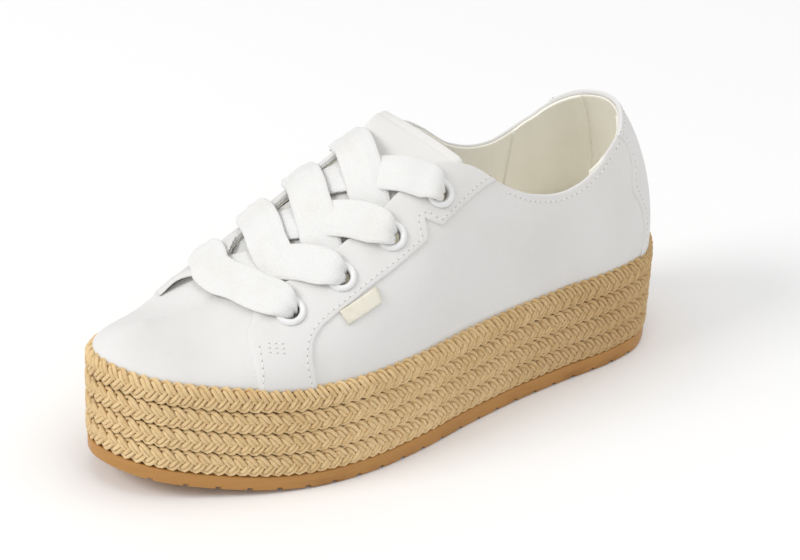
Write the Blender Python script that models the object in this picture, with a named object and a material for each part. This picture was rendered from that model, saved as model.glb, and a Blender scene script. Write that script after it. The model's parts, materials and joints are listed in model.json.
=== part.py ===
"""Low canvas lace-up sneaker on a braid-wrapped platform, left shoe.

The shoe stands on the floor at z = 0. The toe points along -Y, the outer side of the foot is +X and +Z is up.
Lengths in the tables are millimetres; add_solid turns them into metres.

Every curved piece is read from two forms. The platform form is the sole's outline, pushed in or out, at a height.
The last form is the surface of the foot's last: for a station along the sole it rises from the feather line,
where upper meets platform, to the ridge over the instep.
"""

import math

import bmesh
import bpy
import numpy as np

MM = 0.001
GAP = 0.3

# Platform form
OUTSOLE_BOTTOM = 0.0
OUTSOLE_TOP = 7.0
PLATFORM_BOTTOM = OUTSOLE_TOP + GAP
PLATFORM_TOP = 43.0
TOE_SPRING = 10.8
TOE_SPRING_FROM = -50.0
TOE_SPRING_RUN = 80.0
HEEL_BEVEL = 2.1
HEEL_BEVEL_FROM = 100.0
HEEL_BEVEL_RUN = 30.0
OUTSOLE_INSET = 0.8
BRAID_ROWS = 4
BRAID_BULGE = 1.3
TOP_ROW_ROUND = 2.2
GROOVE_PITCH = 10.4
GROOVE_WIDTH = 2.4
GROOVE_DEPTH = 1.5
GROOVE_FIRST = -118.4
GROOVE_COUNT = 23

# Upper
FEATHER_INSET = 3.0
UPPER_BOTTOM = PLATFORM_TOP + GAP
WALL = 2.0
INSOLE_THICK = 4.5
TONGUE_THICK = 3.2
TONGUE_GAP = 0.5

# How finely the grids are drawn
SOLE_STATIONS = 34
TOE_COLUMNS = 13
THROAT_COLUMNS = 9
SIDE_COLUMNS = 20
HEEL_COLUMNS = 8
RISES = 9
TONGUE_ROWS = 15
TONGUE_COLUMNS = 11
LACE_STEPS = 13
LACE_COLUMNS = 5

# The sole's outline from above: station along the shoe, inner (medial) edge, outer (lateral) edge
OUTLINE = (
    # station, medial, lateral
    (-130.0, -7.0, -7.0),
    (-126.0, -18.0, 6.6),
    (-117.0, -26.2, 17.6),
    (-100.0, -34.4, 28.2),
    (-80.0, -42.4, 38.0),
    (-60.0, -46.6, 44.2),
    (-38.0, -45.6, 46.6),
    (-14.0, -38.6, 45.0),
    (12.0, -31.4, 40.8),
    (40.0, -28.6, 37.6),
    (66.0, -28.9, 36.6),
    (90.0, -30.6, 36.2),
    (108.0, -29.4, 32.2),
    (121.0, -22.4, 21.2),
    (128.0, -11.0, 9.6),
    (130.0, -0.8, -0.8),
)

# The last's ridge: its station, sideways place and height, and how square each cross-section is
# sideways and upwards on either side of it (2 is an ellipse, less is a tent, more is a box)
RIDGE = (
    # station, sideways, height, outer_side, outer_up, inner_side, inner_up
    (-106.0, -8.0, 61.0, 1.70, 1.90, 1.68, 1.90),
    (-95.0, -8.0, 59.0, 1.72, 1.92, 1.66, 1.90),
    (-80.0, -7.5, 60.2, 1.68, 1.84, 1.60, 1.80),
    (-60.0, -6.5, 72.9, 1.64, 1.72, 1.58, 1.70),
    (-40.0, -6.0, 86.8, 1.64, 1.68, 1.62, 1.68),
    (-20.0, -5.0, 99.7, 1.82, 1.82, 1.95, 1.95),
    (0.0, -4.0, 109.5, 2.30, 2.30, 2.70, 2.70),
    (20.0, -2.0, 116.0, 2.20, 2.20, 2.70, 2.70),
    (40.0, 0.0, 121.0, 2.05, 2.05, 2.20, 2.20),
    (69.0, 1.0, 124.0, 1.92, 1.92, 1.92, 1.92),
)
RIDGE_PULL = 0.689
RIDGE_DRIFT = -0.00115


def smooth(knots, values, at):
    """Cubic curve through (knots, values), with slopes from the neighbouring points."""
    knots = np.asarray(knots, float)
    values = np.asarray(values, float)
    step = np.diff(knots)
    rise = np.diff(values) / step
    slope = np.empty_like(values)
    slope[1:-1] = (rise[1:] * step[:-1] + rise[:-1] * step[1:]) / (step[1:] + step[:-1])
    slope[0] = rise[0]
    slope[-1] = rise[-1]
    at = np.clip(np.asarray(at, float), knots[0], knots[-1])
    span = np.clip(np.searchsorted(knots, at, side="right") - 1, 0, len(step) - 1)
    width = step[span]
    t = (at - knots[span]) / width
    keep = 2 * t**3 - 3 * t**2 + 1
    lead = t**3 - 2 * t**2 + t
    land = 3 * t**2 - 2 * t**3
    tail = t**3 - t**2
    start, end = values[span], values[span + 1]
    return keep * start + lead * width * slope[span] + land * end + tail * width * slope[span + 1]


def outline_curve(per_span=24):
    """The closed outline as a dense curve, outer side first, with square-root chord spacing."""
    outer = [(lateral, station) for station, medial, lateral in OUTLINE]
    inner = [(medial, station) for station, medial, lateral in OUTLINE[1:-1]]
    points = np.array(outer + inner[::-1])
    lap = 3
    wrapped = np.vstack([points[-lap:], points, points[: lap + 1]])
    chords = np.linalg.norm(np.diff(wrapped, axis=0), axis=1)
    knots = np.concatenate([[0.0], np.cumsum(np.sqrt(chords))])
    start, end = knots[lap], knots[lap + len(points)]
    at = np.linspace(start, end, per_span * len(points), endpoint=False)
    return np.column_stack([smooth(knots, wrapped[:, 0], at), smooth(knots, wrapped[:, 1], at)])


OUTLINE_CURVE = outline_curve()


def pushed_in(inset):
    """The outline moved inwards by inset, split at toe and heel: (outer side, inner side) from toe to heel."""
    curve = OUTLINE_CURVE
    along = np.roll(curve, -1, axis=0) - np.roll(curve, 1, axis=0)
    outward = np.column_stack([along[:, 1], -along[:, 0]])
    outward /= np.linalg.norm(outward, axis=1)[:, None]
    moved = curve - outward * inset
    moved = np.roll(moved, -int(moved[:, 1].argmin()), axis=0)
    heel = int(moved[:, 1].argmax())
    outer = moved[: heel + 1]
    inner = np.vstack([moved[:1], moved[heel:][::-1]])
    return outer, inner


def spread(first, last, count):
    """Stations from first to last, closer together at both ends."""
    turn = np.linspace(0.0, math.pi, count + 1)
    return first + (last - first) * (1 - np.cos(turn)) / 2


def toe_rise(station):
    """How far the toe spring lifts the sole at a station."""
    return TOE_SPRING * np.clip((TOE_SPRING_FROM - station) / TOE_SPRING_RUN, 0, None) ** 2


def heel_rise(station):
    """How far the ground face curves up behind the heel."""
    return HEEL_BEVEL * np.clip((station - HEEL_BEVEL_FROM) / HEEL_BEVEL_RUN, 0, None) ** 2


def sole_ring(inset, height, bevel=0.0, count=SOLE_STATIONS):
    """One closed ring of the platform form: outer side from toe to heel, then inner side back to the toe."""
    outer, inner = pushed_in(inset)
    stations = spread(outer[0, 1], outer[-1, 1], count)
    outer_x = np.interp(stations, outer[:, 1], outer[:, 0])
    inner_x = np.interp(stations, inner[:, 1], inner[:, 0])
    level = height + toe_rise(stations) + bevel * heel_rise(stations)
    near = np.column_stack([outer_x, stations, level])
    far = np.column_stack([inner_x, stations, level])[1:-1]
    return np.vstack([near, far[::-1]])


FEATHER_OUTER, FEATHER_INNER = pushed_in(FEATHER_INSET)
FEATHER_TOE = float(FEATHER_OUTER[0, 1])
FEATHER_HEEL = float(FEATHER_OUTER[-1, 1])


def last_form(side, station, rise):
    """Point on the last: side +1 is outer, -1 is inner; rise runs from 0 at the feather line to 1 at the ridge."""
    station = np.asarray(station, float)
    rise = np.asarray(rise, float)
    edge = FEATHER_OUTER if side > 0 else FEATHER_INNER
    foot_x = np.interp(station, edge[:, 1], edge[:, 0])
    foot_z = UPPER_BOTTOM + toe_rise(station)
    ridge_y = RIDGE_PULL * station + RIDGE_DRIFT * station**2
    table = np.array(RIDGE)
    columns = (1, 2, 3, 4) if side > 0 else (1, 2, 5, 6)
    ridge_x, ridge_z, square_side, square_up = (smooth(table[:, 0], table[:, k], ridge_y) for k in columns)
    turn = rise * math.pi / 2
    out = np.clip(np.cos(turn), 0, 1) ** (2 / square_side)
    up = np.clip(np.sin(turn), 0, 1) ** (2 / square_up)
    x = ridge_x + (foot_x - ridge_x) * out
    y = ridge_y + (station - ridge_y) * out
    z = foot_z + (ridge_z - foot_z) * up
    return np.stack(np.broadcast_arrays(x, y, z), axis=-1)


# The top edge of the upper on each side, as the share of the rise where the canvas ends: 1 on the closed vamp,
# then the throat, the rounded top of the facing, the dip of the collar and its climb to the heel
OUTER_EDGE = (
    # station, rise
    (-88.5, 1.000),
    (-83.8, 0.829),
    (-79.5, 0.752),
    (-74.2, 0.691),
    (-67.7, 0.651),
    (-59.6, 0.632),
    (-47.3, 0.638),
    (-23.5, 0.665),
    (-7.1, 0.711),
    (1.0, 0.727),
    (8.0, 0.713),
    (14.9, 0.663),
    (21.8, 0.610),
    (31.6, 0.490),
    (43.0, 0.396),
    (52.3, 0.357),
    (63.8, 0.338),
    (73.8, 0.348),
    (85.5, 0.386),
    (98.0, 0.442),
    (115.0, 0.499),
    (127.0, 0.521),
)
INNER_EDGE = (
    # station, rise
    (-88.5, 1.000),
    (-85.0, 0.873),
    (-80.0, 0.773),
    (-74.5, 0.702),
    (-68.0, 0.662),
    (-60.3, 0.661),
    (-48.3, 0.689),
    (-21.8, 0.758),
    (-5.0, 0.830),
    (3.7, 0.837),
    (11.0, 0.791),
    (16.2, 0.682),
    (24.4, 0.575),
    (34.5, 0.450),
    (43.0, 0.365),
    (52.3, 0.325),
    (63.8, 0.313),
    (73.8, 0.327),
    (85.5, 0.360),
    (98.0, 0.406),
    (115.0, 0.475),
    (127.0, 0.521),
)
THROAT_FRONT = -88.5
THROAT_SIDES = -58.0
HEEL_TURN = 104.0

# Eyelets, four on each side, and their ring's sizes
EYELETS = (
    # row, outer station, outer rise, inner station, inner rise
    (1, -69.1, 0.497, -69.6, 0.467),
    (2, -47.1, 0.517, -47.8, 0.507),
    (3, -23.0, 0.540, -25.6, 0.503),
    (4, 2.2, 0.573, -4.5, 0.530),
)
EYELET_RIM = 5.85
EYELET_HOLE = 3.25
EYELET_BARREL = 3.75
EYELET_FLANGE = 0.9
PUNCH = 4.1
EYELET_SIDES = 12

# The tongue's two side edges, and how far its free inner corner stands off the last
TONGUE_EDGE = (
    # station, outer rise, inner rise, lift
    (-104.0, 0.640, 0.640, 0.0),
    (-80.0, 0.560, 0.560, 0.0),
    (-40.0, 0.540, 0.560, 0.0),
    (-18.0, 0.560, 0.660, 0.0),
    (-4.0, 0.580, 0.860, 0.0),
    (6.0, 0.590, 0.865, 0.6),
    (12.0, 0.580, 0.810, 2.4),
    (19.5, 0.560, 0.700, 4.8),
)

# Where each crossing lace leaves the throat on either side, in the rows from the second to the fourth
LACE_STARTS = (
    # row, outer x, outer y, inner x, inner y
    (2, 13.9, -56.3, -15.6, -60.2),
    (3, 15.5, -40.8, -15.7, -43.8),
    (4, 15.4, -20.0, -12.0, -24.0),
)
LACE_WIDTH = 11.0
LACE_PINCH = 7.5
LACE_THICK = 1.7
LACE_RUN = (
    # share of the way, height of the lace on top, height of the lace below, width share
    (0.00, -1.7, -1.7, 0.7),
    (0.20, -0.4, -0.6, 1.0),
    (0.45, 1.8, 0.5, 1.0),
    (0.65, 2.6, 1.2, 1.0),
    (0.85, 2.7, 2.5, 1.0),
    (1.00, 2.3, 2.3, 0.0),
)
LACE_BAR_RISE = 3.2

PLATFORM_LOOK = {"color": (0.60, 0.44, 0.26, 1.0), "roughness": 0.85}
RUBBER_LOOK = {"color": (0.48, 0.25, 0.09, 1.0), "roughness": 0.55}
CANVAS_LOOK = {"color": (0.86, 0.85, 0.83, 1.0), "roughness": 0.9}
LINING_LOOK = {"color": (0.80, 0.75, 0.64, 1.0), "roughness": 0.9}
EYELET_LOOK = {"color": (0.90, 0.90, 0.88, 1.0), "roughness": 0.35}
LACE_LOOK = {"color": (0.90, 0.90, 0.88, 1.0), "roughness": 0.85}


def clear_scene():
    """Remove every object that a new file holds."""
    for thing in list(bpy.data.objects):
        bpy.data.objects.remove(thing, do_unlink=True)


def make_material(name, look):
    """One Principled material."""
    material = bpy.data.materials.new(name)
    material.use_nodes = True
    shader = material.node_tree.nodes["Principled BSDF"]
    shader.inputs["Base Color"].default_value = look["color"]
    shader.inputs["Roughness"].default_value = look["roughness"]
    shader.inputs["Metallic"].default_value = 0.0
    material.diffuse_color = look["color"]
    return material


def add_solid(name, points, faces, look):
    """A closed mesh object from points in millimetres, with its normals turned outwards."""
    mesh = bpy.data.meshes.new(name)
    form = bmesh.new()
    verts = [form.verts.new([float(value) * MM for value in point]) for point in points]
    for face in faces:
        form.faces.new([verts[corner] for corner in face])
    bmesh.ops.triangulate(form, faces=form.faces[:])
    bmesh.ops.recalc_face_normals(form, faces=form.faces[:])
    form.to_mesh(mesh)
    form.free()
    mesh.polygons.foreach_set("use_smooth", [True] * len(mesh.polygons))
    thing = bpy.data.objects.new(name, mesh)
    bpy.context.scene.collection.objects.link(thing)
    if look is not None:
        thing.data.materials.append(make_material(name, look))
    return thing


def add_boolean(target, tool, operation):
    """Cut the tool from the target or join it on, and keep the tool out of the build."""
    tool.hide_render = True
    tool.display_type = "WIRE"
    boolean = target.modifiers.new(tool.name, "BOOLEAN")
    boolean.operation = operation
    boolean.solver = "EXACT"
    boolean.object = tool


def stack_rings(rings):
    """Points and faces of a solid with side walls through all rings and a ladder of quads across each end."""
    size = len(rings[0])
    half = size // 2
    points = np.vstack(rings)
    faces = []
    for level in range(len(rings) - 1):
        base = level * size
        for k in range(size):
            ahead = (k + 1) % size
            faces.append((base + k, base + ahead, base + size + ahead, base + size + k))
    for base, flip in ((0, True), ((len(rings) - 1) * size, False)):
        for k in range(half):
            far, far_ahead = (size - k) % size, size - k - 1
            rung = [base + k, base + k + 1, base + far_ahead, base + far]
            corners = list(dict.fromkeys(rung))
            faces.append(corners[::-1] if flip else corners)
    return points, faces


def close_sheets(top, bottom):
    """Points and faces of a thin solid between two grids of equal shape."""
    rows, columns = top.shape[:2]
    points = np.vstack([top.reshape(-1, 3), bottom.reshape(-1, 3)])
    under = rows * columns
    faces = []
    for i in range(rows - 1):
        for j in range(columns - 1):
            a, b, c, d = i * columns + j, i * columns + j + 1, (i + 1) * columns + j + 1, (i + 1) * columns + j
            faces.append((a, b, c, d))
            faces.append((under + d, under + c, under + b, under + a))
    rim = [j for j in range(columns)]
    rim += [i * columns + columns - 1 for i in range(1, rows)]
    rim += [(rows - 1) * columns + j for j in range(columns - 2, -1, -1)]
    rim += [i * columns for i in range(rows - 2, 0, -1)]
    for k, corner in enumerate(rim):
        ahead = rim[(k + 1) % len(rim)]
        faces.append((corner, under + corner, under + ahead, ahead))
    return points, faces


def surface_normal(side, station, rise):
    """Outward direction of the last form, from two short steps along it."""
    station = np.asarray(station, float)
    rise = np.asarray(rise, float)
    along = last_form(side, station + 0.5, rise) - last_form(side, station - 0.5, rise)
    above = last_form(side, station, np.minimum(rise + 0.01, 0.995))
    up = above - last_form(side, station, np.maximum(rise - 0.01, 0.005))
    normal = np.cross(along, up) * side
    return normal / np.linalg.norm(normal, axis=-1, keepdims=True)


def above_last(x, y, height):
    """Point at a height above the last, over the place (x, y) seen from above."""
    ridge = np.array(RIDGE)
    low, high = FEATHER_TOE + 0.1, FEATHER_HEEL - 0.1
    side = 1
    for _ in range(40):
        station = (low + high) / 2
        ridge_y = RIDGE_PULL * station + RIDGE_DRIFT * station**2
        ridge_x = float(smooth(ridge[:, 0], ridge[:, 1], ridge_y))
        side = 1 if x > ridge_x else -1
        edge = FEATHER_OUTER if side > 0 else FEATHER_INNER
        foot_x = float(np.interp(station, edge[:, 1], edge[:, 0]))
        out = min((x - ridge_x) / (foot_x - ridge_x), 1.0)
        if ridge_y + (station - ridge_y) * out < y:
            low = station
        else:
            high = station
    square = float(smooth(ridge[:, 0], ridge[:, 3 if side > 0 else 5], ridge_y))
    rise = math.acos(out ** (square / 2)) * 2 / math.pi
    rise = min(rise, 0.985)
    return last_form(side, station, rise) + surface_normal(side, station, rise) * height


def build_outsole():
    """Gum rubber slab with toe spring, a rolled heel edge and cross lugs."""
    rings = [
        sole_ring(OUTSOLE_INSET + 0.8, OUTSOLE_BOTTOM, bevel=1.0),
        sole_ring(OUTSOLE_INSET, OUTSOLE_BOTTOM + 1.0, bevel=0.8),
        sole_ring(OUTSOLE_INSET, OUTSOLE_TOP - 0.6),
        sole_ring(OUTSOLE_INSET + 0.4, OUTSOLE_TOP),
    ]
    outsole = add_solid("outsole", *stack_rings(rings), RUBBER_LOOK)
    points, faces = [], []
    for k in range(GROOVE_COUNT):
        station = GROOVE_FIRST + k * GROOVE_PITCH
        floor = float(toe_rise(station) + heel_rise(station))
        front, back = station - GROOVE_WIDTH / 2, station + GROOVE_WIDTH / 2
        base = len(points)
        for z in (-3.0, floor + GROOVE_DEPTH):
            for x, y in ((-60.0, front), (60.0, front), (60.0, back), (-60.0, back)):
                points.append((x, y, z))
        for face in ((0, 1, 2, 3), (4, 5, 6, 7), (0, 1, 5, 4), (1, 2, 6, 5), (2, 3, 7, 6), (3, 0, 4, 7)):
            faces.append([base + corner for corner in face])
    add_boolean(outsole, add_solid("groove_cutters", points, faces, None), "DIFFERENCE")


def build_platform():
    """Platform core in its wrap of four plaited courses, the top course rounded in under the upper."""
    course = (PLATFORM_TOP - PLATFORM_BOTTOM) / BRAID_ROWS
    rings = []
    for row in range(BRAID_ROWS):
        for share, inset in ((0.0, BRAID_BULGE), (0.25, 0.0), (0.75, 0.0)):
            rings.append(sole_ring(inset, PLATFORM_BOTTOM + (row + share) * course))
    rings[-1] = sole_ring(TOP_ROW_ROUND * 0.4, PLATFORM_TOP - 0.2 * course)
    rings.append(sole_ring(TOP_ROW_ROUND, PLATFORM_TOP))
    add_solid("platform", *stack_rings(rings), PLATFORM_LOOK)


def build_insole():
    """Sock lining on the platform, just inside the upper's wall."""
    inset = FEATHER_INSET + WALL + GAP
    rings = [
        sole_ring(inset + 0.5, UPPER_BOTTOM),
        sole_ring(inset + 2.5, UPPER_BOTTOM + INSOLE_THICK * 0.5),
        sole_ring(inset + 7.0, UPPER_BOTTOM + INSOLE_THICK),
    ]
    add_solid("insole", *stack_rings(rings), LINING_LOOK)


def upper_stations():
    """Columns of the upper: closer together round the toe, round the throat's front and round the heel."""
    toe_turn = np.linspace(0.0, math.pi / 2, TOE_COLUMNS)
    toe = FEATHER_TOE + (THROAT_FRONT - FEATHER_TOE) * (1 - np.cos(toe_turn))
    throat = THROAT_FRONT + (THROAT_SIDES - THROAT_FRONT) * np.linspace(0.0, 1.0, THROAT_COLUMNS) ** 1.7
    sides = np.linspace(THROAT_SIDES, HEEL_TURN, SIDE_COLUMNS)
    heel_turn = np.linspace(0.0, math.pi / 2, HEEL_COLUMNS)
    heel = HEEL_TURN + (FEATHER_HEEL - HEEL_TURN) * np.sin(heel_turn)
    return np.concatenate([toe, throat[1:], sides[1:], heel[1:]])


def edge_rise(side, station):
    """Share of the rise at which the canvas ends."""
    table = np.array(OUTER_EDGE if side > 0 else INNER_EDGE)
    return np.where(station <= THROAT_FRONT, 1.0, smooth(table[:, 0], table[:, 1], station))


def build_upper():
    """One shell of canvas and lining, open at throat and collar and along the feather line."""
    stations = upper_stations()
    closed = int(np.sum(stations <= THROAT_FRONT + 1e-6))
    count = len(stations)
    outside = []
    number = {}

    def point(side, i, j):
        shared = side < 0 and (i in (0, count - 1) or (j == RISES and i < closed))
        key = (1 if shared else side, i, j)
        if key not in number:
            top = float(edge_rise(key[0], stations[i]))
            number[key] = len(outside)
            outside.append(last_form(key[0], stations[i], top * j / RISES))
        return number[key]

    faces = []
    for side in (1, -1):
        for i in range(count - 1):
            for j in range(RISES):
                quad = [point(side, i, j), point(side, i + 1, j), point(side, i + 1, j + 1), point(side, i, j + 1)]
                faces.append(quad if side > 0 else quad[::-1])
    outside = np.array(outside)
    normals = np.zeros_like(outside)
    for quad in faces:
        a, b, c, d = (outside[corner] for corner in quad)
        across = np.cross(c - a, d - b)
        for corner in quad:
            normals[corner] += across
    feather = [number[(side, i, 0)] for side in (1, -1) for i in range(count) if (side, i, 0) in number]
    normals[feather, 2] = 0.0
    normals /= np.linalg.norm(normals, axis=1)[:, None]
    inside = outside - normals * WALL
    inside[feather, 2] = outside[feather, 2]
    under = len(outside)
    solid = list(faces) + [[corner + under for corner in quad[::-1]] for quad in faces]
    edges = {}
    for quad in faces:
        for k in range(4):
            edges[(quad[k], quad[(k + 1) % 4])] = True
    for a, b in edges:
        if (b, a) not in edges:
            solid.append([a, a + under, b + under, b])
    upper = add_solid("upper", np.vstack([outside, inside]), solid, CANVAS_LOOK)
    add_boolean(upper, punches(), "DIFFERENCE")


def ring_frame(side, station, rise):
    """Centre of an eyelet on the last and three directions: outwards and two across."""
    centre = last_form(side, station, rise)
    outward = surface_normal(side, station, rise)
    across = np.cross(outward, (0.0, 1.0, 0.0))
    across /= np.linalg.norm(across)
    return centre, outward, across, np.cross(outward, across)


def each_eyelet():
    """Name, side, station and rise of the eight eyelets."""
    for row, outer_station, outer_rise, inner_station, inner_rise in EYELETS:
        yield f"eyelet_outer_{row}", 1, outer_station, outer_rise
        yield f"eyelet_inner_{row}", -1, inner_station, inner_rise


def turned(profile, frame, count):
    """Points and faces of a closed profile of (radius, height) rows turned about an eyelet's axis."""
    centre, outward, across, along = frame
    points, faces = [], []
    for k in range(count):
        angle = 2 * math.pi * k / count
        spoke = across * math.cos(angle) + along * math.sin(angle)
        for radius, height in profile:
            points.append(centre + spoke * radius + outward * height)
    size = len(profile)
    for k in range(count):
        ahead = (k + 1) % count
        for j in range(size):
            up = (j + 1) % size
            faces.append((k * size + j, ahead * size + j, ahead * size + up, k * size + up))
    return points, faces


def punches():
    """Round cutters for the eight eyelet holes in the upper."""
    points, faces = [], []
    for name, side, station, rise in each_eyelet():
        frame = ring_frame(side, station, rise)
        ring, walls = turned(((PUNCH, -6.0), (PUNCH, 4.0)), frame, EYELET_SIDES)
        base = len(points)
        points += ring
        for wall in walls[::2]:
            faces.append([base + corner for corner in wall])
        faces.append([base + 2 * k for k in range(EYELET_SIDES)])
        faces.append([base + 2 * k + 1 for k in range(EYELET_SIDES)])
    return add_solid("eyelet_punches", points, faces, None)


def build_eyelets():
    """Painted metal eyelets: a rolled flange on the canvas and a barrel through the wall."""
    flange = GAP
    profile = (
        (EYELET_HOLE, -WALL),
        (EYELET_BARREL, -WALL),
        (EYELET_BARREL, flange),
        (EYELET_RIM, flange),
        (EYELET_RIM - 0.5, flange + EYELET_FLANGE * 0.8),
        (EYELET_HOLE + 0.9, flange + EYELET_FLANGE),
        (EYELET_HOLE, flange + EYELET_FLANGE * 0.4),
    )
    for name, side, station, rise in each_eyelet():
        add_solid(name, *turned(profile, ring_frame(side, station, rise), EYELET_SIDES), EYELET_LOOK)


def build_tongue():
    """Padded canvas tongue under the facings, its inner top corner standing free."""
    table = np.array(TONGUE_EDGE)
    stations = np.linspace(table[0, 0], table[-1, 0], TONGUE_ROWS)
    shares = np.linspace(-1.0, 1.0, TONGUE_COLUMNS)
    top = np.zeros((len(stations), len(shares), 3))
    bottom = np.zeros_like(top)
    for i, station in enumerate(stations):
        outer, inner, lift = (float(smooth(table[:, 0], table[:, k], station)) for k in (1, 2, 3))
        for j, share in enumerate(shares):
            side, edge = (1, outer) if share > 0 else (-1, inner)
            rise = min(1 - (1 - edge) * abs(share), 0.985)
            surface = last_form(side, station, 1 - (1 - edge) * abs(share))
            outward = surface_normal(side, station, rise)
            if abs(share) < 0.01:
                outward = surface_normal(1, station, 0.985) + surface_normal(-1, station, 0.985)
                outward /= np.linalg.norm(outward)
            free = np.array([-0.3, -0.3, 1.0]) * lift * share**2 if share < 0 else 0.0
            top[i, j] = surface - outward * (WALL + TONGUE_GAP) + free
            bottom[i, j] = top[i, j] - outward * TONGUE_THICK * (1 - 0.6 * share**4)
    add_solid("tongue", *close_sheets(top, bottom), CANVAS_LOOK)


def ribbon(name, route):
    """A flat lace over the last: route rows are x, y, height above the last and width."""
    route = np.array(route)
    share = np.linspace(0.0, 1.0, len(route))
    steps = np.linspace(0.0, 1.0, LACE_STEPS)
    x, y, height, width = (smooth(share, route[:, k], steps) for k in range(4))
    heading = np.column_stack([np.gradient(x), np.gradient(y)])
    heading /= np.linalg.norm(heading, axis=1)[:, None]
    spans = np.linspace(-0.5, 0.5, LACE_COLUMNS)
    top = np.zeros((len(steps), len(spans), 3))
    bottom = np.zeros_like(top)
    for i in range(len(steps)):
        for j, span in enumerate(spans):
            place_x = x[i] - heading[i, 1] * width[i] * span
            place_y = y[i] + heading[i, 0] * width[i] * span
            crown = LACE_THICK * (1 - 2.2 * span**2)
            bottom[i, j] = above_last(place_x, place_y, height[i])
            top[i, j] = above_last(place_x, place_y, height[i] + crown)
    return add_solid(name, *close_sheets(top, bottom), LACE_LOOK)


def eyelet_place(side, row):
    """Plan position of an eyelet."""
    columns = EYELETS[row - 1]
    station, rise = (columns[1], columns[2]) if side > 0 else (columns[3], columns[4])
    x, y, z = last_form(side, station, rise)
    return float(x), float(y)


def build_laces():
    """A straight bar over the first pair of eyelets, then three crossings, each a lace over a lace."""
    inner_x, inner_y = eyelet_place(-1, 1)
    outer_x, outer_y = eyelet_place(1, 1)
    route = []
    for share, height, wide in ((0, 2.3, 0), (0.2, 2.8, 1), (0.5, LACE_BAR_RISE, 1), (0.8, 2.8, 1), (1, 2.3, 0)):
        width = LACE_PINCH + (LACE_WIDTH - LACE_PINCH) * wide
        route.append((inner_x + (outer_x - inner_x) * share, inner_y + (outer_y - inner_y) * share, height, width))
    ribbon("lace_bar", route)
    for row, outer_start_x, outer_start_y, inner_start_x, inner_start_y in LACE_STARTS:
        runs = {}
        for kind, start, end, column in (
            ("over", (outer_start_x, outer_start_y), eyelet_place(-1, row), 1),
            ("under", (inner_start_x, inner_start_y), eyelet_place(1, row), 2),
        ):
            runs[kind] = []
            for step in LACE_RUN:
                share, width = step[0], LACE_PINCH + (LACE_WIDTH - LACE_PINCH) * step[3]
                x = start[0] + (end[0] - start[0]) * share
                y = start[1] + (end[1] - start[1]) * share
                runs[kind].append((x, y, step[column], width))
        crossing = ribbon(f"lace_crossing_{row - 1}", runs["over"])
        add_boolean(crossing, ribbon(f"lace_under_{row - 1}", runs["under"]), "UNION")


clear_scene()
build_outsole()
build_platform()
build_insole()
build_upper()
build_tongue()
build_eyelets()
build_laces()
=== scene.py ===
import math

import bmesh
import bpy
import numpy as np
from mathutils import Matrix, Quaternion, Vector
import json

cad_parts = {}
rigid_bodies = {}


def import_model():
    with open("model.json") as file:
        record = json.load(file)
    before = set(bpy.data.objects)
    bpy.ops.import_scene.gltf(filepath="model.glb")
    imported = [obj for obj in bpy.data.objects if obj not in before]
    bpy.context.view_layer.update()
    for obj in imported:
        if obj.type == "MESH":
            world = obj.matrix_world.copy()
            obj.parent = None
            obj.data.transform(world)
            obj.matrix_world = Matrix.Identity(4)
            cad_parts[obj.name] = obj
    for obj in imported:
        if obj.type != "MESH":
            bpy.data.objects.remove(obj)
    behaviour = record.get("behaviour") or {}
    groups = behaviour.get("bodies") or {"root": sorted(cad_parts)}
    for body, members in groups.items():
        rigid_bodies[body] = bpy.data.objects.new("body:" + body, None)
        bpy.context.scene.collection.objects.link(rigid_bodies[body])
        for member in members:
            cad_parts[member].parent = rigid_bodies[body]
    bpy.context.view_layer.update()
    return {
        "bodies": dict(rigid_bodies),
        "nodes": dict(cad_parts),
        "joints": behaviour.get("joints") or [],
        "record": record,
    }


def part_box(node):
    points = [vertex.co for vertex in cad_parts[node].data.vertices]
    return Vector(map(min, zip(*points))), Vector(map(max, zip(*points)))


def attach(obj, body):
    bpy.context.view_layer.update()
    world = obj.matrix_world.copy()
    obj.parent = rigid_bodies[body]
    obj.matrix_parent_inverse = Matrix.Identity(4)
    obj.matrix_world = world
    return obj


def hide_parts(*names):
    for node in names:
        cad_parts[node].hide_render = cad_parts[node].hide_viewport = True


# A low canvas lace-up sneaker on a braid-wrapped platform, left shoe, in the order of its making.
# The toe points along -Y, the outer side of the foot is +X and +Z is up. Tables hold millimetres.
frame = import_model()
MM = 0.001

# ------------------------------------------------------------------------------------------------
# Outsole: one slab of moulded gum rubber with toe spring, glued under the platform. Its edge is
# rounded by the mould and cross lugs are cut into its ground face. The rubber is satin, a little
# darker where it has been scuffed.
# ------------------------------------------------------------------------------------------------
OUTLINE = (
    # station, medial edge, lateral edge
    (-130.0, -7.0, -7.0),
    (-126.0, -18.0, 6.6),
    (-117.0, -26.2, 17.6),
    (-100.0, -34.4, 28.2),
    (-80.0, -42.4, 38.0),
    (-60.0, -46.6, 44.2),
    (-38.0, -45.6, 46.6),
    (-14.0, -38.6, 45.0),
    (12.0, -31.4, 40.8),
    (40.0, -28.6, 37.6),
    (66.0, -28.9, 36.6),
    (90.0, -30.6, 36.2),
    (108.0, -29.4, 32.2),
    (121.0, -22.4, 21.2),
    (128.0, -11.0, 9.6),
    (130.0, -0.8, -0.8),
)
TOE_SPRING = 10.8
HEEL_BEVEL = 2.1
GAP = 0.3
PLATFORM_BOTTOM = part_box("platform")[0].z / MM
OUTSOLE_TOP = PLATFORM_BOTTOM - GAP
OUTSOLE_INSET = 0.8
LUG_PITCH = 10.4
LUG_FIRST = -118.4
LUG_COUNT = 23
LUG_WIDTH = 2.4
LUG_DEPTH = 1.5
RUBBER_COLOR = (0.46, 0.225, 0.055, 1)
RUBBER_DARK = (0.27, 0.115, 0.025, 1)


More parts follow.
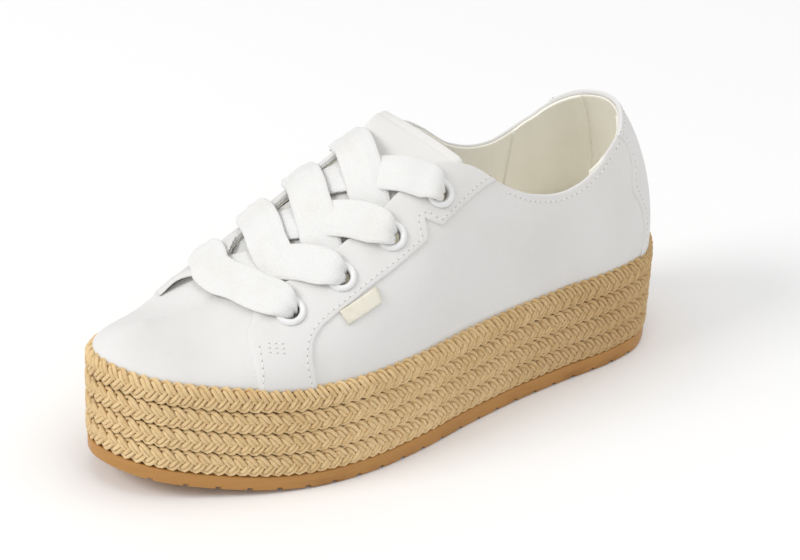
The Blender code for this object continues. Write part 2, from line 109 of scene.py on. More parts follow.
def smooth(knots, values, at):
    """Cubic curve through (knots, values), with slopes from the neighbouring points."""
    knots = np.asarray(knots, float)
    values = np.asarray(values, float)
    step = np.diff(knots)
    rise = np.diff(values) / step
    slope = np.empty_like(values)
    slope[1:-1] = (rise[1:] * step[:-1] + rise[:-1] * step[1:]) / (step[1:] + step[:-1])
    slope[0] = rise[0]
    slope[-1] = rise[-1]
    at = np.clip(np.asarray(at, float), knots[0], knots[-1])
    span = np.clip(np.searchsorted(knots, at, side="right") - 1, 0, len(step) - 1)
    width = step[span]
    t = (at - knots[span]) / width
    start, end = values[span], values[span + 1]
    ahead = (t**3 - 2 * t**2 + t) * width * slope[span] + (t**3 - t**2) * width * slope[span + 1]
    return start + (end - start) * (3 * t**2 - 2 * t**3) + ahead


def lengths(points):
    """Distances from each point to the next."""
    return np.linalg.norm(np.diff(points, axis=0), axis=1)


def add_up(steps):
    """Running sum that starts at 0."""
    return np.concatenate([[0.0], np.cumsum(steps)])


def unit(vectors):
    """The vectors, each made one long."""
    return vectors / np.linalg.norm(vectors, axis=-1, keepdims=True)


def outline_curve(per_span=40):
    """The closed outline as a dense curve, outer side first, with square-root chord spacing."""
    outer = [(lateral, station) for station, medial, lateral in OUTLINE]
    inner = [(medial, station) for station, medial, lateral in OUTLINE[1:-1]]
    points = np.array(outer + inner[::-1])
    lap = 3
    wrapped = np.vstack([points[-lap:], points, points[: lap + 1]])
    knots = add_up(np.sqrt(lengths(wrapped)))
    at = np.linspace(knots[lap], knots[lap + len(points)], per_span * len(points), endpoint=False)
    return np.column_stack([smooth(knots, wrapped[:, 0], at), smooth(knots, wrapped[:, 1], at)])


OUTLINE_CURVE = outline_curve()


def pushed_in(inset):
    """The outline moved inwards, as its outer side and its inner side, both from toe to heel."""
    along = np.roll(OUTLINE_CURVE, -1, axis=0) - np.roll(OUTLINE_CURVE, 1, axis=0)
    outward = unit(np.column_stack([along[:, 1], -along[:, 0]]))
    moved = OUTLINE_CURVE - outward * inset
    moved = np.roll(moved, -int(moved[:, 1].argmin()), axis=0)
    heel = int(moved[:, 1].argmax())
    return moved[: heel + 1], np.vstack([moved[:1], moved[heel:][::-1]])


def toe_rise(station):
    """How far the toe spring lifts the sole at a station."""
    return TOE_SPRING * np.clip((-50.0 - station) / 80.0, 0, None) ** 2


def heel_rise(station):
    """How far the ground face curves up behind the heel."""
    return HEEL_BEVEL * np.clip((station - 100.0) / 30.0, 0, None) ** 2


def toe_dip(station):
    """Share of the dip of the braid's lower edge round the forefoot."""
    return smooth((-75.0, -15.0), (1.0, 0.0), station)


def sole_ring(inset, height, bevel=0.0, dip=0.0, count=150):
    """A closed ring of the platform's form: outer side from toe to heel, inner side back."""
    outer, inner = pushed_in(inset)
    turn = np.linspace(0.0, math.pi, count + 1)
    stations = outer[0, 1] + (outer[-1, 1] - outer[0, 1]) * (1 - np.cos(turn)) / 2
    level = height + toe_rise(stations) + bevel * heel_rise(stations) - dip * toe_dip(stations)
    near = np.column_stack([np.interp(stations, outer[:, 1], outer[:, 0]), stations, level])
    far = np.column_stack([np.interp(stations, inner[:, 1], inner[:, 0]), stations, level])[1:-1]
    return np.vstack([near, far[::-1]])


def grid_faces(rows, columns, wrap=False):
    """Quads between neighbouring rows of points; wrap joins each row's end to its start."""
    faces = []
    for i in range(rows - 1):
        for j in range(columns if wrap else columns - 1):
            ahead = (j + 1) % columns
            low, high = i * columns, (i + 1) * columns
            faces.append((low + j, low + ahead, high + ahead, high + j))
    return faces


def stack_rings(rings):
    """Points and faces of a solid: side walls through all rings and a ladder of quads at each end."""
    size = len(rings[0])
    faces = grid_faces(len(rings), size, wrap=True)
    for base, flip in ((0, True), ((len(rings) - 1) * size, False)):
        for k in range(size // 2):
            corners = (base + k, base + k + 1, base + size - k - 1, base + (size - k) % size)
            corners = list(dict.fromkeys(corners))
            faces.append(corners[::-1] if flip else corners)
    return np.vstack(rings), faces


class Wire:
    """A node's output. Sums on it add Math nodes, so that a pattern reads as a formula."""

    def __init__(self, graph, socket):
        self.graph = graph
        self.socket = socket

    def math(self, operation, *values):
        return self.graph.add("ShaderNodeMath", dict(enumerate(values)), operation=operation)

    def __add__(self, other):
        return self.math("ADD", self, other)

    def __sub__(self, other):
        return self.math("SUBTRACT", self, other)

    def __rsub__(self, other):
        return self.math("SUBTRACT", other, self)

    def __mul__(self, other):
        return self.math("MULTIPLY", self, other)

    def __truediv__(self, other):
        return self.math("DIVIDE", self, other)

    def __pow__(self, other):
        return self.math("POWER", self, other)

    __radd__ = __add__
    __rmul__ = __mul__

    def sine(self):
        return self.math("SINE", self)

    def cosine(self):
        return self.math("COSINE", self)

    def size(self):
        return self.math("ABSOLUTE", self)

    def root(self):
        return self.math("SQRT", self)

    def greatest(self, other):
        return self.math("MAXIMUM", self, other)

    def between(self, low, high):
        """0 below low, 1 above high and a soft step between."""
        ports = {0: self, 1: low, 2: high}
        return self.graph.add("ShaderNodeMapRange", ports, interpolation_type="SMOOTHSTEP", clamp=True)


class Graph:
    """Writes a node tree, one node at a time: its settings, then its sockets' values or links."""

    def __init__(self, tree):
        self.tree = tree

    def add(self, kind, ports=None, out=0, **settings):
        made = self.tree.nodes.new(kind)
        for name, value in settings.items():
            setattr(made, name, value)
        for key, value in (ports or {}).items():
            if isinstance(value, Wire):
                self.tree.links.new(value.socket, made.inputs[key])
            else:
                made.inputs[key].default_value = value
        return Wire(self, made.outputs[out])

    def mix(self, share, first, second):
        """A colour between two others."""
        ports = {0: share, 6: first, 7: second}
        return self.add("ShaderNodeMix", ports, out=2, data_type="RGBA", clamp_factor=True)

    def parts(self, vector):
        """The three numbers of a vector."""
        first = self.add("ShaderNodeSeparateXYZ", {0: vector})
        return tuple(Wire(self, first.socket.node.outputs[k]) for k in range(3))

    def vector(self, x=0.0, y=0.0, z=0.0):
        return self.add("ShaderNodeCombineXYZ", {0: x, 1: y, 2: z})

    def vector_math(self, operation, *values):
        return self.add("ShaderNodeVectorMath", dict(enumerate(values)), operation=operation)

    def scaled(self, vector, amount):
        """A vector times a number."""
        ports = {0: vector, "Scale": amount}
        return self.add("ShaderNodeVectorMath", ports, operation="SCALE")

    def noise(self, place, scale, detail=2.0, roughness=0.5, out=0):
        ports = {"Vector": place, "Scale": scale, "Detail": detail, "Roughness": roughness}
        return self.add("ShaderNodeTexNoise", ports, out=out)

    def place(self):
        """The point on the object, in metres."""
        return self.add("ShaderNodeTexCoord", out=3)

    def attribute(self, name, out=2):
        """A named attribute of the piece: 1 is its vector, 2 is its number."""
        return self.add("ShaderNodeAttribute", out=out, attribute_name=name)

    def bump(self, height, strength, distance):
        ports = {"Height": height, "Strength": strength, "Distance": distance}
        return self.add("ShaderNodeBump", ports)


def new_material(name, color, roughness, **plain):
    """A Principled material and its graph; plain holds other fixed values by socket name."""
    material = bpy.data.materials.new(name)
    material.use_nodes = True
    shader = material.node_tree.nodes["Principled BSDF"]
    shader.inputs["Base Color"].default_value = color
    shader.inputs["Roughness"].default_value = roughness
    for socket, value in plain.items():
        shader.inputs[socket.replace("_", " ")].default_value = value
    material.diffuse_color = color
    return material, Graph(material.node_tree)


def finish_material(graph, **wires):
    """Plugs wires into the material's shader by socket name."""
    shader = graph.tree.nodes["Principled BSDF"]
    for socket, wire in wires.items():
        graph.tree.links.new(wire.socket, shader.inputs[socket.replace("_", " ")])


def add_object(name, data):
    """An object in the scene, at the origin."""
    thing = bpy.data.objects.new(name, data)
    bpy.context.scene.collection.objects.link(thing)
    return thing


def add_mesh(name, points, faces, material, uv=None):
    """A smooth mesh object; points and uv, which has one pair for each point, are in millimetres."""
    mesh = bpy.data.meshes.new(name)
    corners = [list(map(int, face)) for face in faces]
    mesh.from_pydata((np.asarray(points, float) * MM).tolist(), [], corners)
    mesh.polygons.foreach_set("use_smooth", [True] * len(mesh.polygons))
    if uv is not None:
        corners = np.zeros(len(mesh.loops), int)
        mesh.loops.foreach_get("vertex_index", corners)
        layer = mesh.uv_layers.new(name="UVMap")
        layer.data.foreach_set("uv", (np.asarray(uv, float)[corners] * MM).ravel())
    if material is not None:
        mesh.materials.append(material)
    return add_object(name, mesh)


def use_piece(thing, slot, *nodes):
    """The piece rides on the shoe and stands for CAD nodes; slot is not used."""
    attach(thing, "root")
    if nodes:
        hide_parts(*nodes)
    return thing


def face_outwards(thing):
    """Turns a closed mesh's faces outwards."""
    form = bmesh.new()
    form.from_mesh(thing.data)
    bmesh.ops.recalc_face_normals(form, faces=form.faces[:])
    form.to_mesh(thing.data)
    form.free()


def apply_modifiers(thing):
    """The object's mesh as its modifiers leave it."""
    graph = bpy.context.evaluated_depsgraph_get()
    mesh = bpy.data.meshes.new_from_object(thing.evaluated_get(graph), depsgraph=graph)
    thing.modifiers.clear()
    old, thing.data = thing.data, mesh
    bpy.data.meshes.remove(old)


def cut(target, points, faces, solver="EXACT"):
    """Takes closed cutter shapes out of a closed mesh."""
    cutter = add_mesh("cutter", points, faces, None)
    face_outwards(cutter)
    boolean = target.modifiers.new("cut", "BOOLEAN")
    boolean.operation = "DIFFERENCE"
    boolean.solver = solver
    boolean.object = cutter
    apply_modifiers(target)
    bpy.data.objects.remove(cutter, do_unlink=True)


def rubber_material():
    """Satin gum: amber with darker scuffs low down, faint streaks and a fine moulded grain."""
    soft = {"Subsurface_Weight": 0.06, "Subsurface_Scale": 0.004}
    material, graph = new_material("gum_rubber", RUBBER_COLOR, 0.5, **soft)
    place = graph.place()
    height = graph.parts(place)[2]
    cloud = graph.noise(place, 45.0, 4.0)
    scuff = cloud.between(0.42, 0.75) * (1 - height.between(0.001, 0.006)) * 0.7
    grain = graph.noise(place, 1600.0, 3.0, 0.6)
    streak = graph.noise(graph.vector_math("MULTIPLY", place, (60.0, 60.0, 900.0)), 1.0, 3.0)
    color = graph.mix(scuff + streak.between(0.4, 0.8) * 0.25, RUBBER_COLOR, RUBBER_DARK)
    finish_material(
        graph,
        Base_Color=color,
        Roughness=0.42 + grain * 0.12 + scuff * 0.25,
        Normal=graph.bump(grain + streak * 0.6, 0.22, 0.0004),
    )
    return material


BRAID_DIP = 0.9
GROUND_ROUND = 1.1
TOP_ROUND = 0.6
CUTTER_HALF = 60.0
CUTTER_BOTTOM = -3.0
CUTTER_CORNERS = ((-1, -1), (1, -1), (1, 1), (-1, 1))
BOX_FACES = ((0, 1, 2, 3), (4, 5, 6, 7), (0, 1, 5, 4), (1, 2, 6, 5), (2, 3, 7, 6), (3, 0, 4, 7))
rings = []
for turn in np.radians((0, 25, 50, 75, 90)):
    inset = OUTSOLE_INSET + GROUND_ROUND * (1 - math.sin(turn))
    rings.append(sole_ring(inset, GROUND_ROUND * (1 - math.cos(turn)), bevel=1.0))
for turn in np.radians((0, 30, 60, 90)):
    inset = OUTSOLE_INSET + TOP_ROUND * (1 - math.cos(turn))
    rings.append(sole_ring(inset, OUTSOLE_TOP - TOP_ROUND * (1 - math.sin(turn)), dip=BRAID_DIP))
outsole = add_mesh("rubber_outsole", *stack_rings(rings), rubber_material())
cutter_points, cutter_faces = [], []
for k in range(LUG_COUNT):
    station = LUG_FIRST + k * LUG_PITCH
    roof = float(toe_rise(station) + heel_rise(station)) + LUG_DEPTH
    base = len(cutter_points)
    for z, half in ((CUTTER_BOTTOM, 0.8 * LUG_WIDTH), (roof, 0.4 * LUG_WIDTH)):
        for across, ahead in CUTTER_CORNERS:
            cutter_points.append((across * CUTTER_HALF, station + ahead * half, z))
    cutter_faces += [[base + corner for corner in face] for face in BOX_FACES]
cut(outsole, cutter_points, cutter_faces)
outsole.data.set_sharp_from_angle(angle=math.radians(38))
use_piece(outsole, "gum_rubber", "outsole")

# ------------------------------------------------------------------------------------------------
# Platform: a light core with natural jute braid glued round it in four courses, the top one rolled
# in under the canvas. Each course is a flat plait of three strands, and each strand is two loosely
# twisted yarns side by side.
# ------------------------------------------------------------------------------------------------
UPPER_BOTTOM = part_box("upper")[0].z / MM
PLATFORM_TOP = UPPER_BOTTOM - GAP
BRAID_COURSES = 4
COURSE = (PLATFORM_TOP - PLATFORM_BOTTOM) / BRAID_COURSES
YARN_RADIUS = 0.84
YARN_SPACING = 1.55
PLAIT_DEPTH = 0.62
PLAIT_OVERLAP = 0.45
PLAIT_LAY = 13.0
PLAIT_SHARP = 0.94
TOP_LEAN = 1.8
TOP_LIFT = 0.5
SIDE_BULGE = 0.25
CORE_INSET = 2.6
CORE_TUCK = 4.6
YARN_STEP = 0.85
YARN_JITTER = 0.35
TWIST_LENGTH = 0.0085
JUTE_LIGHT = (0.97, 0.74, 0.42, 1)
JUTE_MID = (0.71, 0.475, 0.21, 1)
JUTE_HEEL_SHADE = (0.45, 0.27, 0.10, 1)
JUTE_DARK = (0.36, 0.21, 0.075, 1)
CORE_SHADE_BLACK = (0.10, 0.055, 0.02, 1)
INPUT_KINDS = {float: "NodeSocketFloat", int: "NodeSocketInt", bpy.types.Material: "NodeSocketMaterial"}


def new_tree(name, **sizes):
    """A Geometry Nodes tree with named sizes: its graph, the incoming geometry and the sizes."""
    tree = bpy.data.node_groups.new(name, "GeometryNodeTree")
    for way in ("INPUT", "OUTPUT"):
        tree.interface.new_socket(name="Geometry", in_out=way, socket_type="NodeSocketGeometry")
    for label, value in sizes.items():
        kind = INPUT_KINDS[type(value)]
        socket = tree.interface.new_socket(name=label, in_out="INPUT", socket_type=kind)
        socket.default_value = value
    entry = tree.nodes.new("NodeGroupInput")
    graph = Graph(tree)
    wires = {label: Wire(graph, entry.outputs[label]) for label in sizes}
    return graph, Wire(graph, entry.outputs[0]), wires


def close_tree(graph, geometry, material):
    """Ends a tree: instances made real, smooth shading, material and output."""
    solid = graph.add("GeometryNodeRealizeInstances", {"Geometry": geometry})
    soft = graph.add("GeometryNodeSetShadeSmooth", {"Geometry": solid})
    dressed = graph.add("GeometryNodeSetMaterial", {"Geometry": soft, "Material": material})
    end = graph.tree.nodes.new("NodeGroupOutput")
    graph.tree.links.new(dressed.socket, end.inputs[0])
    return graph.tree


def grow(thing, tree, **values):
    """Runs a tree on the object and leaves its result as a plain mesh."""
    modifier = thing.modifiers.new(tree.name, "NODES")
    modifier.node_group = tree
    for item in tree.interface.items_tree:
        if item.in_out == "INPUT" and item.name in values:
            modifier[item.identifier] = values[item.name]
    apply_modifiers(thing)
    return thing


def add_path(name, runs, closed=False, outward=None):
    """Loose edges through runs of points in millimetres; outward has a direction for each point."""
    edges = []
    start = 0
    for run in runs:
        count = len(run)
        edges += [(start + k, start + (k + 1) % count) for k in range(count if closed else count - 1)]
        start += count
    mesh = bpy.data.meshes.new(name)
    mesh.from_pydata((np.vstack(runs) * MM).tolist(), edges, [])
    if outward is not None:
        kept = mesh.attributes.new("outward", "FLOAT_VECTOR", "POINT")
        kept.data.foreach_set("vector", np.ravel(outward))
    return add_object(name, mesh)


def named(graph, name, kind="FLOAT"):
    """A named attribute inside a Geometry Nodes tree."""
    return graph.add("GeometryNodeInputNamedAttribute", {"Name": name}, data_type=kind)


def store(graph, geometry, name, value, kind="FLOAT"):
    """Keeps a value on the points of a geometry under a name that materials can read."""
    ports = {"Geometry": geometry, "Name": name, "Value": value}
    return graph.add("GeometryNodeStoreNamedAttribute", ports, data_type=kind, domain="POINT")


def plait_tree():
    """A flat plait round a closed path: its strands weave across, and chevrons point along it."""
    graph, source, size = new_tree(
        "plait",
        Step=0.0, Reach=0.0, Depth=0.0, Lay=0.0, Spacing=0.0, Radius=0.0, Lean=0.0, Bulge=0.0,
        Half=0.0, Jitter=0.0, Strands=3, Yarns=2, Seed=0.0, Material=bpy.data.materials[0],
    )
    straight = graph.add("GeometryNodeMeshToCurve", {"Mesh": source})
    ports = {"Curve": straight, "Length": size["Step"]}
    path = graph.add("GeometryNodeResampleCurve", ports, mode="LENGTH")
    length = graph.add("GeometryNodeCurveLength", {0: path})
    laps = length.math("ROUND", length / size["Lay"])
    ports = {"Geometry": path, "Amount": size["Strands"] * size["Yarns"]}
    twins = graph.add("GeometryNodeDuplicateElements", ports, domain="SPLINE")
    copy = Wire(graph, twins.socket.node.outputs["Duplicate Index"])
    strand = copy.math("FLOOR", (copy + 0.5) / size["Yarns"])
    beside = (copy - strand * size["Yarns"] - (size["Yarns"] - 1) * 0.5) * size["Spacing"]
    turn = (graph.add("GeometryNodeSplineParameter") * laps + strand / size["Strands"]) * math.tau
    # A strand crosses the plait in a zigzag with rounded turns at its edges
    reach = size["Reach"] * (1 / math.asin(PLAIT_SHARP))
    wave = turn.sine() * PLAIT_SHARP
    across = wave.math("ARCSINE", wave) * reach
    slope = turn.cosine() * PLAIT_SHARP / (1 - wave * wave).root() * reach * laps * math.tau / length
    level = (slope * slope + 1.0) ** -0.5
    across = across + beside * level
    drift = beside * slope * level * -1.0
    share = across.greatest(0.0) / size["Half"]
    tilt = share * size["Lean"] * 2.0 / size["Half"]
    upright = (tilt * tilt + 1.0) ** -0.5
    # It goes over and under twice in each turn, and stays up or down for most of the way
    swing = (turn * 2.0).sine()
    depth = swing / (swing.size() + 0.35) * size["Depth"] * -1.35
    edge = across / size["Half"]
    proud = depth * upright - share * share * size["Lean"] - edge * edge * size["Bulge"]
    climb = across - share * share * share * size["Lean"] * 0.35 + depth * tilt * upright
    ahead = graph.add("GeometryNodeInputTangent")
    up = graph.vector(0.0, 0.0, 1.0)
    outward = graph.vector_math("NORMALIZE", graph.vector_math("CROSS_PRODUCT", ahead, up))
    place = graph.add("GeometryNodeInputPosition")
    seeded = graph.vector_math("ADD", place, graph.vector(copy * 0.37, size["Seed"], 0.0))
    wander = graph.vector_math("SUBTRACT", graph.noise(seeded, 110.0, 1.0, out=1), (0.5, 0.5, 0.5))
    offset = graph.scaled(wander, size["Jitter"])
    for direction, amount in ((ahead, drift), (outward, proud), (up, climb)):
        offset = graph.vector_math("ADD", offset, graph.scaled(direction, amount))
    woven = graph.add("GeometryNodeSetPosition", {"Geometry": twins, "Offset": offset})
    run = graph.add("GeometryNodeSplineParameter", out=1)
    woven = store(graph, store(graph, woven, "along", run), "strand", copy)
    ports = {"Resolution": 6, "Radius": size["Radius"]}
    ring = graph.add("GeometryNodeCurvePrimitiveCircle", ports, mode="RADIUS")
    spot = graph.vector_math("NORMALIZE", graph.add("GeometryNodeInputPosition"))
    ring = store(graph, ring, "ring", spot, "FLOAT_VECTOR")
    yarns = graph.add("GeometryNodeCurveToMesh", {"Curve": woven, "Profile Curve": ring})
    return close_tree(graph, yarns, size["Material"])


def jute_material():
    """Straw-coloured bast yarn: paler and darker fibres wound round each yarn, and painted shade that
    darkens it towards the heel.
    """
    matt = {"Sheen_Weight": 0.15, "Specular_IOR_Level": 0.25}
    material, graph = new_material("jute_braid", JUTE_MID, 0.82, **matt)
    along = graph.attribute("along")
    strand = graph.attribute("strand")
    ring_x, ring_y, _ = graph.parts(graph.attribute("ring", out=1))
    turn = along * (math.tau / TWIST_LENGTH)
    wound_x = ring_x * turn.cosine() - ring_y * turn.sine()
    wound_y = ring_x * turn.sine() + ring_y * turn.cosine()
    wound = graph.vector(wound_x * 3.2, wound_y * 3.2, along * 260.0 + strand * 17.3)
    fibre = graph.noise(wound, 1.9, 3.0, 0.65)
    shade = graph.noise(graph.vector(along * 34.0, strand * 5.7, 0.0), 1.0, 2.0)
    place = graph.place()
    cloud = graph.noise(place, 28.0, 3.0)
    fleck = graph.noise(place, 900.0, 2.0).between(0.66, 0.74)
    pale = (fibre * 1.5 + shade * 0.8 + cloud * 0.5 - 0.9).between(0.05, 0.95)
    color = graph.mix(pale, JUTE_MID, JUTE_LIGHT)
    # Painted shade: the braid is mixed browner towards the heel, where less light falls
    painted_heel_shade = graph.parts(place)[1].between(-0.03, 0.11)
    color = graph.mix(painted_heel_shade * 0.5, color, JUTE_HEEL_SHADE)
    color = graph.mix((1 - fibre.between(0.2, 0.45)) * 0.75, color, JUTE_DARK)
    color = graph.mix(fleck * 0.5, color, JUTE_DARK)
    relief = graph.bump(fibre, 0.7, 0.0005)
    finish_material(graph, Base_Color=color, Roughness=0.75 + fibre * 0.2, Normal=relief)
    return material


def core_shade_material():
    """The platform's core, painted dark brown to black as the shade deep between the yarns."""
    material, graph = new_material("braid_core", JUTE_DARK, 0.95)
    place = graph.place()
    thread = graph.noise(place, 700.0, 3.0)
    color = graph.mix(thread, CORE_SHADE_BLACK, JUTE_DARK)
    finish_material(graph, Base_Color=color, Normal=graph.bump(thread, 0.5, 0.0006))
    return material


jute = jute_material()
core_rings = [
    sole_ring(CORE_INSET, PLATFORM_BOTTOM, dip=BRAID_DIP),
    sole_ring(CORE_INSET, PLATFORM_TOP - COURSE * 0.5),
    sole_ring(CORE_TUCK, PLATFORM_TOP - GAP),
]
# The core is coloured dark brown to black: painted shade for the gaps between the yarns
core = add_mesh("platform_core", *stack_rings(core_rings), core_shade_material())
use_piece(core, "braid", "platform")
plait = plait_tree()
base_inset = PLAIT_DEPTH + YARN_RADIUS
for course in range(BRAID_COURSES):
    lift, lean = (TOP_LIFT, TOP_LEAN) if course == BRAID_COURSES - 1 else (0.0, 0.0)
    middle = PLATFORM_BOTTOM + (course + 0.5) * COURSE + lift
    dip = BRAID_DIP * (1 - course / BRAID_COURSES)
    ring = sole_ring(base_inset, middle, dip=dip)
    braid = add_path(f"braid_course_{course + 1}", [ring], closed=True)
    grow(
        braid, plait,
        Step=YARN_STEP * MM,
        Reach=(COURSE / 2 - YARN_SPACING / 2 - YARN_RADIUS + PLAIT_OVERLAP + lift) * MM,
        Depth=PLAIT_DEPTH * MM,
        Lay=PLAIT_LAY * MM,
        Spacing=YARN_SPACING * MM,
        Radius=YARN_RADIUS * MM,
        Lean=lean * MM,
        Bulge=SIDE_BULGE * MM,
        Half=COURSE / 2 * MM,
        Jitter=YARN_JITTER * MM,
        Seed=float(course),
        Material=jute,
    )
    use_piece(braid, "braid", "platform")

# ------------------------------------------------------------------------------------------------
# Insole: a thin foam sock covered in cream cotton, cut to the inside of the upper and glued on the
# platform. Its edge is rounded off towards the lining.
# ------------------------------------------------------------------------------------------------
FEATHER_INSET = 3.0
WALL = 2.0
SOCK_TOP = 4.7
SOCK_ROUND = 6.0
SOCK_GAP = 0.8
LINING_CREAM = (0.97, 0.945, 0.86, 1)
LINING_SHADE = (0.92, 0.885, 0.77, 1)


def weave(graph, pitch, ridge=0.5):
    """Plain weave on the UV map: height of the yarns, over and under in turn; pitch in metres."""
    across, along, _ = graph.parts(graph.add("ShaderNodeTexCoord", out=2))
    warp = across * (math.pi / pitch)
    weft = along * (math.pi / pitch)
    over = (warp.sine() * weft.sine()) * 0.5 + 0.5
    return over * (1 - ridge) + (warp.sine().size() * weft.sine().size()).root() * ridge


def lining_material(name):
    """Cream cotton cloth: a fine plain weave with slubs, and a warmer shade in clouds."""
    matt = {"Sheen_Weight": 0.12, "Specular_IOR_Level": 0.2}
    material, graph = new_material(name, LINING_CREAM, 0.9, **matt)
    threads = weave(graph, 0.0009)
    cloud = graph.noise(graph.place(), 38.0, 3.0)
    slub = graph.noise(graph.place(), 1400.0, 2.0)
    color = graph.mix(cloud.between(0.35, 0.7) * 0.4 + slub * 0.12, LINING_CREAM, LINING_SHADE)
    relief = graph.bump(threads * 0.7 + slub * 0.3, 0.3, 0.0004)
    finish_material(graph, Base_Color=color, Roughness=0.82 + slub * 0.12, Normal=relief)
    return material


lining = lining_material("cream_lining")
inner_inset = FEATHER_INSET + WALL + GAP
insole_rings = [sole_ring(inner_inset + 0.6, UPPER_BOTTOM - 0.2)]
for share in (0.35, 0.6, 0.8, 0.93, 1.0):
    inset = inner_inset + SOCK_GAP + SOCK_ROUND * share**2
    insole_rings.append(sole_ring(inset, UPPER_BOTTOM + SOCK_TOP * share))
for inwards, drop in ((0.8, 0.1), (1.8, 0.3), (3.5, 0.5), (6.0, 0.6), (10.0, 0.65), (15.0, 0.7)):
    inset = inner_inset + SOCK_GAP + SOCK_ROUND + inwards
    insole_rings.append(sole_ring(inset, UPPER_BOTTOM + SOCK_TOP - drop))
insole_points, insole_faces = stack_rings(insole_rings)
insole = add_mesh("insole_sock", insole_points, insole_faces, lining, insole_points[:, :2])
use_piece(insole, "lining", "insole")

# ------------------------------------------------------------------------------------------------
# Upper: white cotton canvas lasted over the form and glued down under the braid, with a cream cotton
# lining inside. The canvas turns over at throat and collar, where stitching holds both layers.
# ------------------------------------------------------------------------------------------------
RIDGE = np.array((
    # place along the shoe, sideways, height, outer_side, outer_up, inner_side, inner_up
    (-106.0, -8.0, 61.0, 1.70, 1.90, 1.68, 1.90),
    (-95.0, -8.0, 59.0, 1.72, 1.92, 1.66, 1.90),
    (-80.0, -7.5, 60.2, 1.68, 1.84, 1.60, 1.80),
    (-60.0, -6.5, 72.9, 1.64, 1.72, 1.58, 1.70),
    (-40.0, -6.0, 86.8, 1.64, 1.68, 1.62, 1.68),
    (-20.0, -5.0, 99.7, 1.82, 1.82, 1.95, 1.95),
    (0.0, -4.0, 109.5, 2.30, 2.30, 2.70, 2.70),
    (20.0, -2.0, 116.0, 2.20, 2.20, 2.70, 2.70),
    (40.0, 0.0, 121.0, 2.05, 2.05, 2.20, 2.20),
    (69.0, 1.0, 124.0, 1.92, 1.92, 1.92, 1.92),
))
RIDGE_PULL = 0.689
RIDGE_DRIFT = -0.00115
OUTER_EDGE = (
    # station, rise
    (-88.5, 1.000),
    (-83.8, 0.829),
    (-79.5, 0.752),
    (-74.2, 0.691),
    (-67.7, 0.651),
    (-59.6, 0.632),
    (-47.3, 0.638),
    (-23.5, 0.665),
    (-7.1, 0.711),
    (1.0, 0.727),
    (8.0, 0.713),
    (14.9, 0.663),
    (21.8, 0.610),
    (31.6, 0.490),
    (43.0, 0.396),
    (52.3, 0.357),
    (63.8, 0.338),
    (73.8, 0.348),
    (85.5, 0.386),
    (98.0, 0.442),
    (115.0, 0.499),
    (127.0, 0.521),
)
INNER_EDGE = (
    # station, rise
    (-88.5, 1.000),
    (-85.0, 0.873),
    (-80.0, 0.773),
    (-74.5, 0.702),
    (-68.0, 0.662),
    (-60.3, 0.661),
    (-48.3, 0.689),
    (-21.8, 0.758),
    (-5.0, 0.830),
    (3.7, 0.837),
    (11.0, 0.791),
    (16.2, 0.682),
    (24.4, 0.575),
    (34.5, 0.450),
    (43.0, 0.365),
    (52.3, 0.325),
    (63.8, 0.313),
    (73.8, 0.327),
    (85.5, 0.360),
    (98.0, 0.406),
    (115.0, 0.475),
    (127.0, 0.521),
)
EDGES = {1: np.array(OUTER_EDGE), -1: np.array(INNER_EDGE)}
THROAT_FRONT = -88.5
SIDE_FRONT = -58.0
SIDE_BACK = 104.0
CANVAS_THICK = 1.1
CANVAS_TUCK = 1.3
LINING_GAP = 0.1
# Soft troughs, with a positive depth, and ridges in the canvas; the lean is in degrees from upright
CREASES = (
    # side, station, rise, lean, half length, half width, depth
    (1, 97.0, 0.27, 4, 11.0, 2.6, 0.55),
    (1, 90.5, 0.24, 2, 10.0, 3.4, -0.35),
    (1, 84.0, 0.22, -5, 9.0, 2.8, 0.40),
    (1, 62.0, 0.17, -24, 13.0, 4.5, 0.45),
    (1, 30.0, 0.22, 34, 17.0, 5.0, 0.50),
    (1, 6.0, 0.20, 28, 14.0, 4.0, 0.35),
    (1, -28.0, 0.20, 12, 12.0, 5.0, 0.30),
    (1, -58.0, 0.16, -16, 8.0, 3.0, 0.30),
    (1, -98.0, 0.42, -38, 12.0, 5.0, 0.25),
    (-1, 97.0, 0.25, -4, 11.0, 2.8, 0.50),
    (-1, 88.0, 0.22, 5, 9.0, 3.2, -0.35),
    (-1, 70.0, 0.17, 18, 12.0, 4.0, 0.45),
    (-1, 36.0, 0.21, -28, 15.0, 5.0, 0.50),
    (-1, 2.0, 0.20, -20, 14.0, 4.5, 0.40),
    (-1, -34.0, 0.19, 10, 12.0, 4.5, 0.30),
    (-1, -96.0, 0.40, 34, 12.0, 5.0, 0.25),
)
CANVAS_WHITE = (0.75, 0.742, 0.729, 1)
CANVAS_WARM = (0.69, 0.672, 0.645, 1)
FEATHERS = dict(zip((1, -1), pushed_in(FEATHER_INSET)))
FEATHER_TOE = float(FEATHERS[1][0, 1])
FEATHER_HEEL = float(FEATHERS[1][-1, 1])
RISE_MM = 62.0
STATION_MM = 0.85
TEXTURE_APART = 400.0


def read_table(table, column, at):
    """A column of a table, as a smooth curve over its first column."""
    return smooth(table[:, 0], table[:, column], at)


def ridge_place(station):
    """Where along the shoe a station's section meets the ridge."""
    return RIDGE_PULL * station + RIDGE_DRIFT * station**2


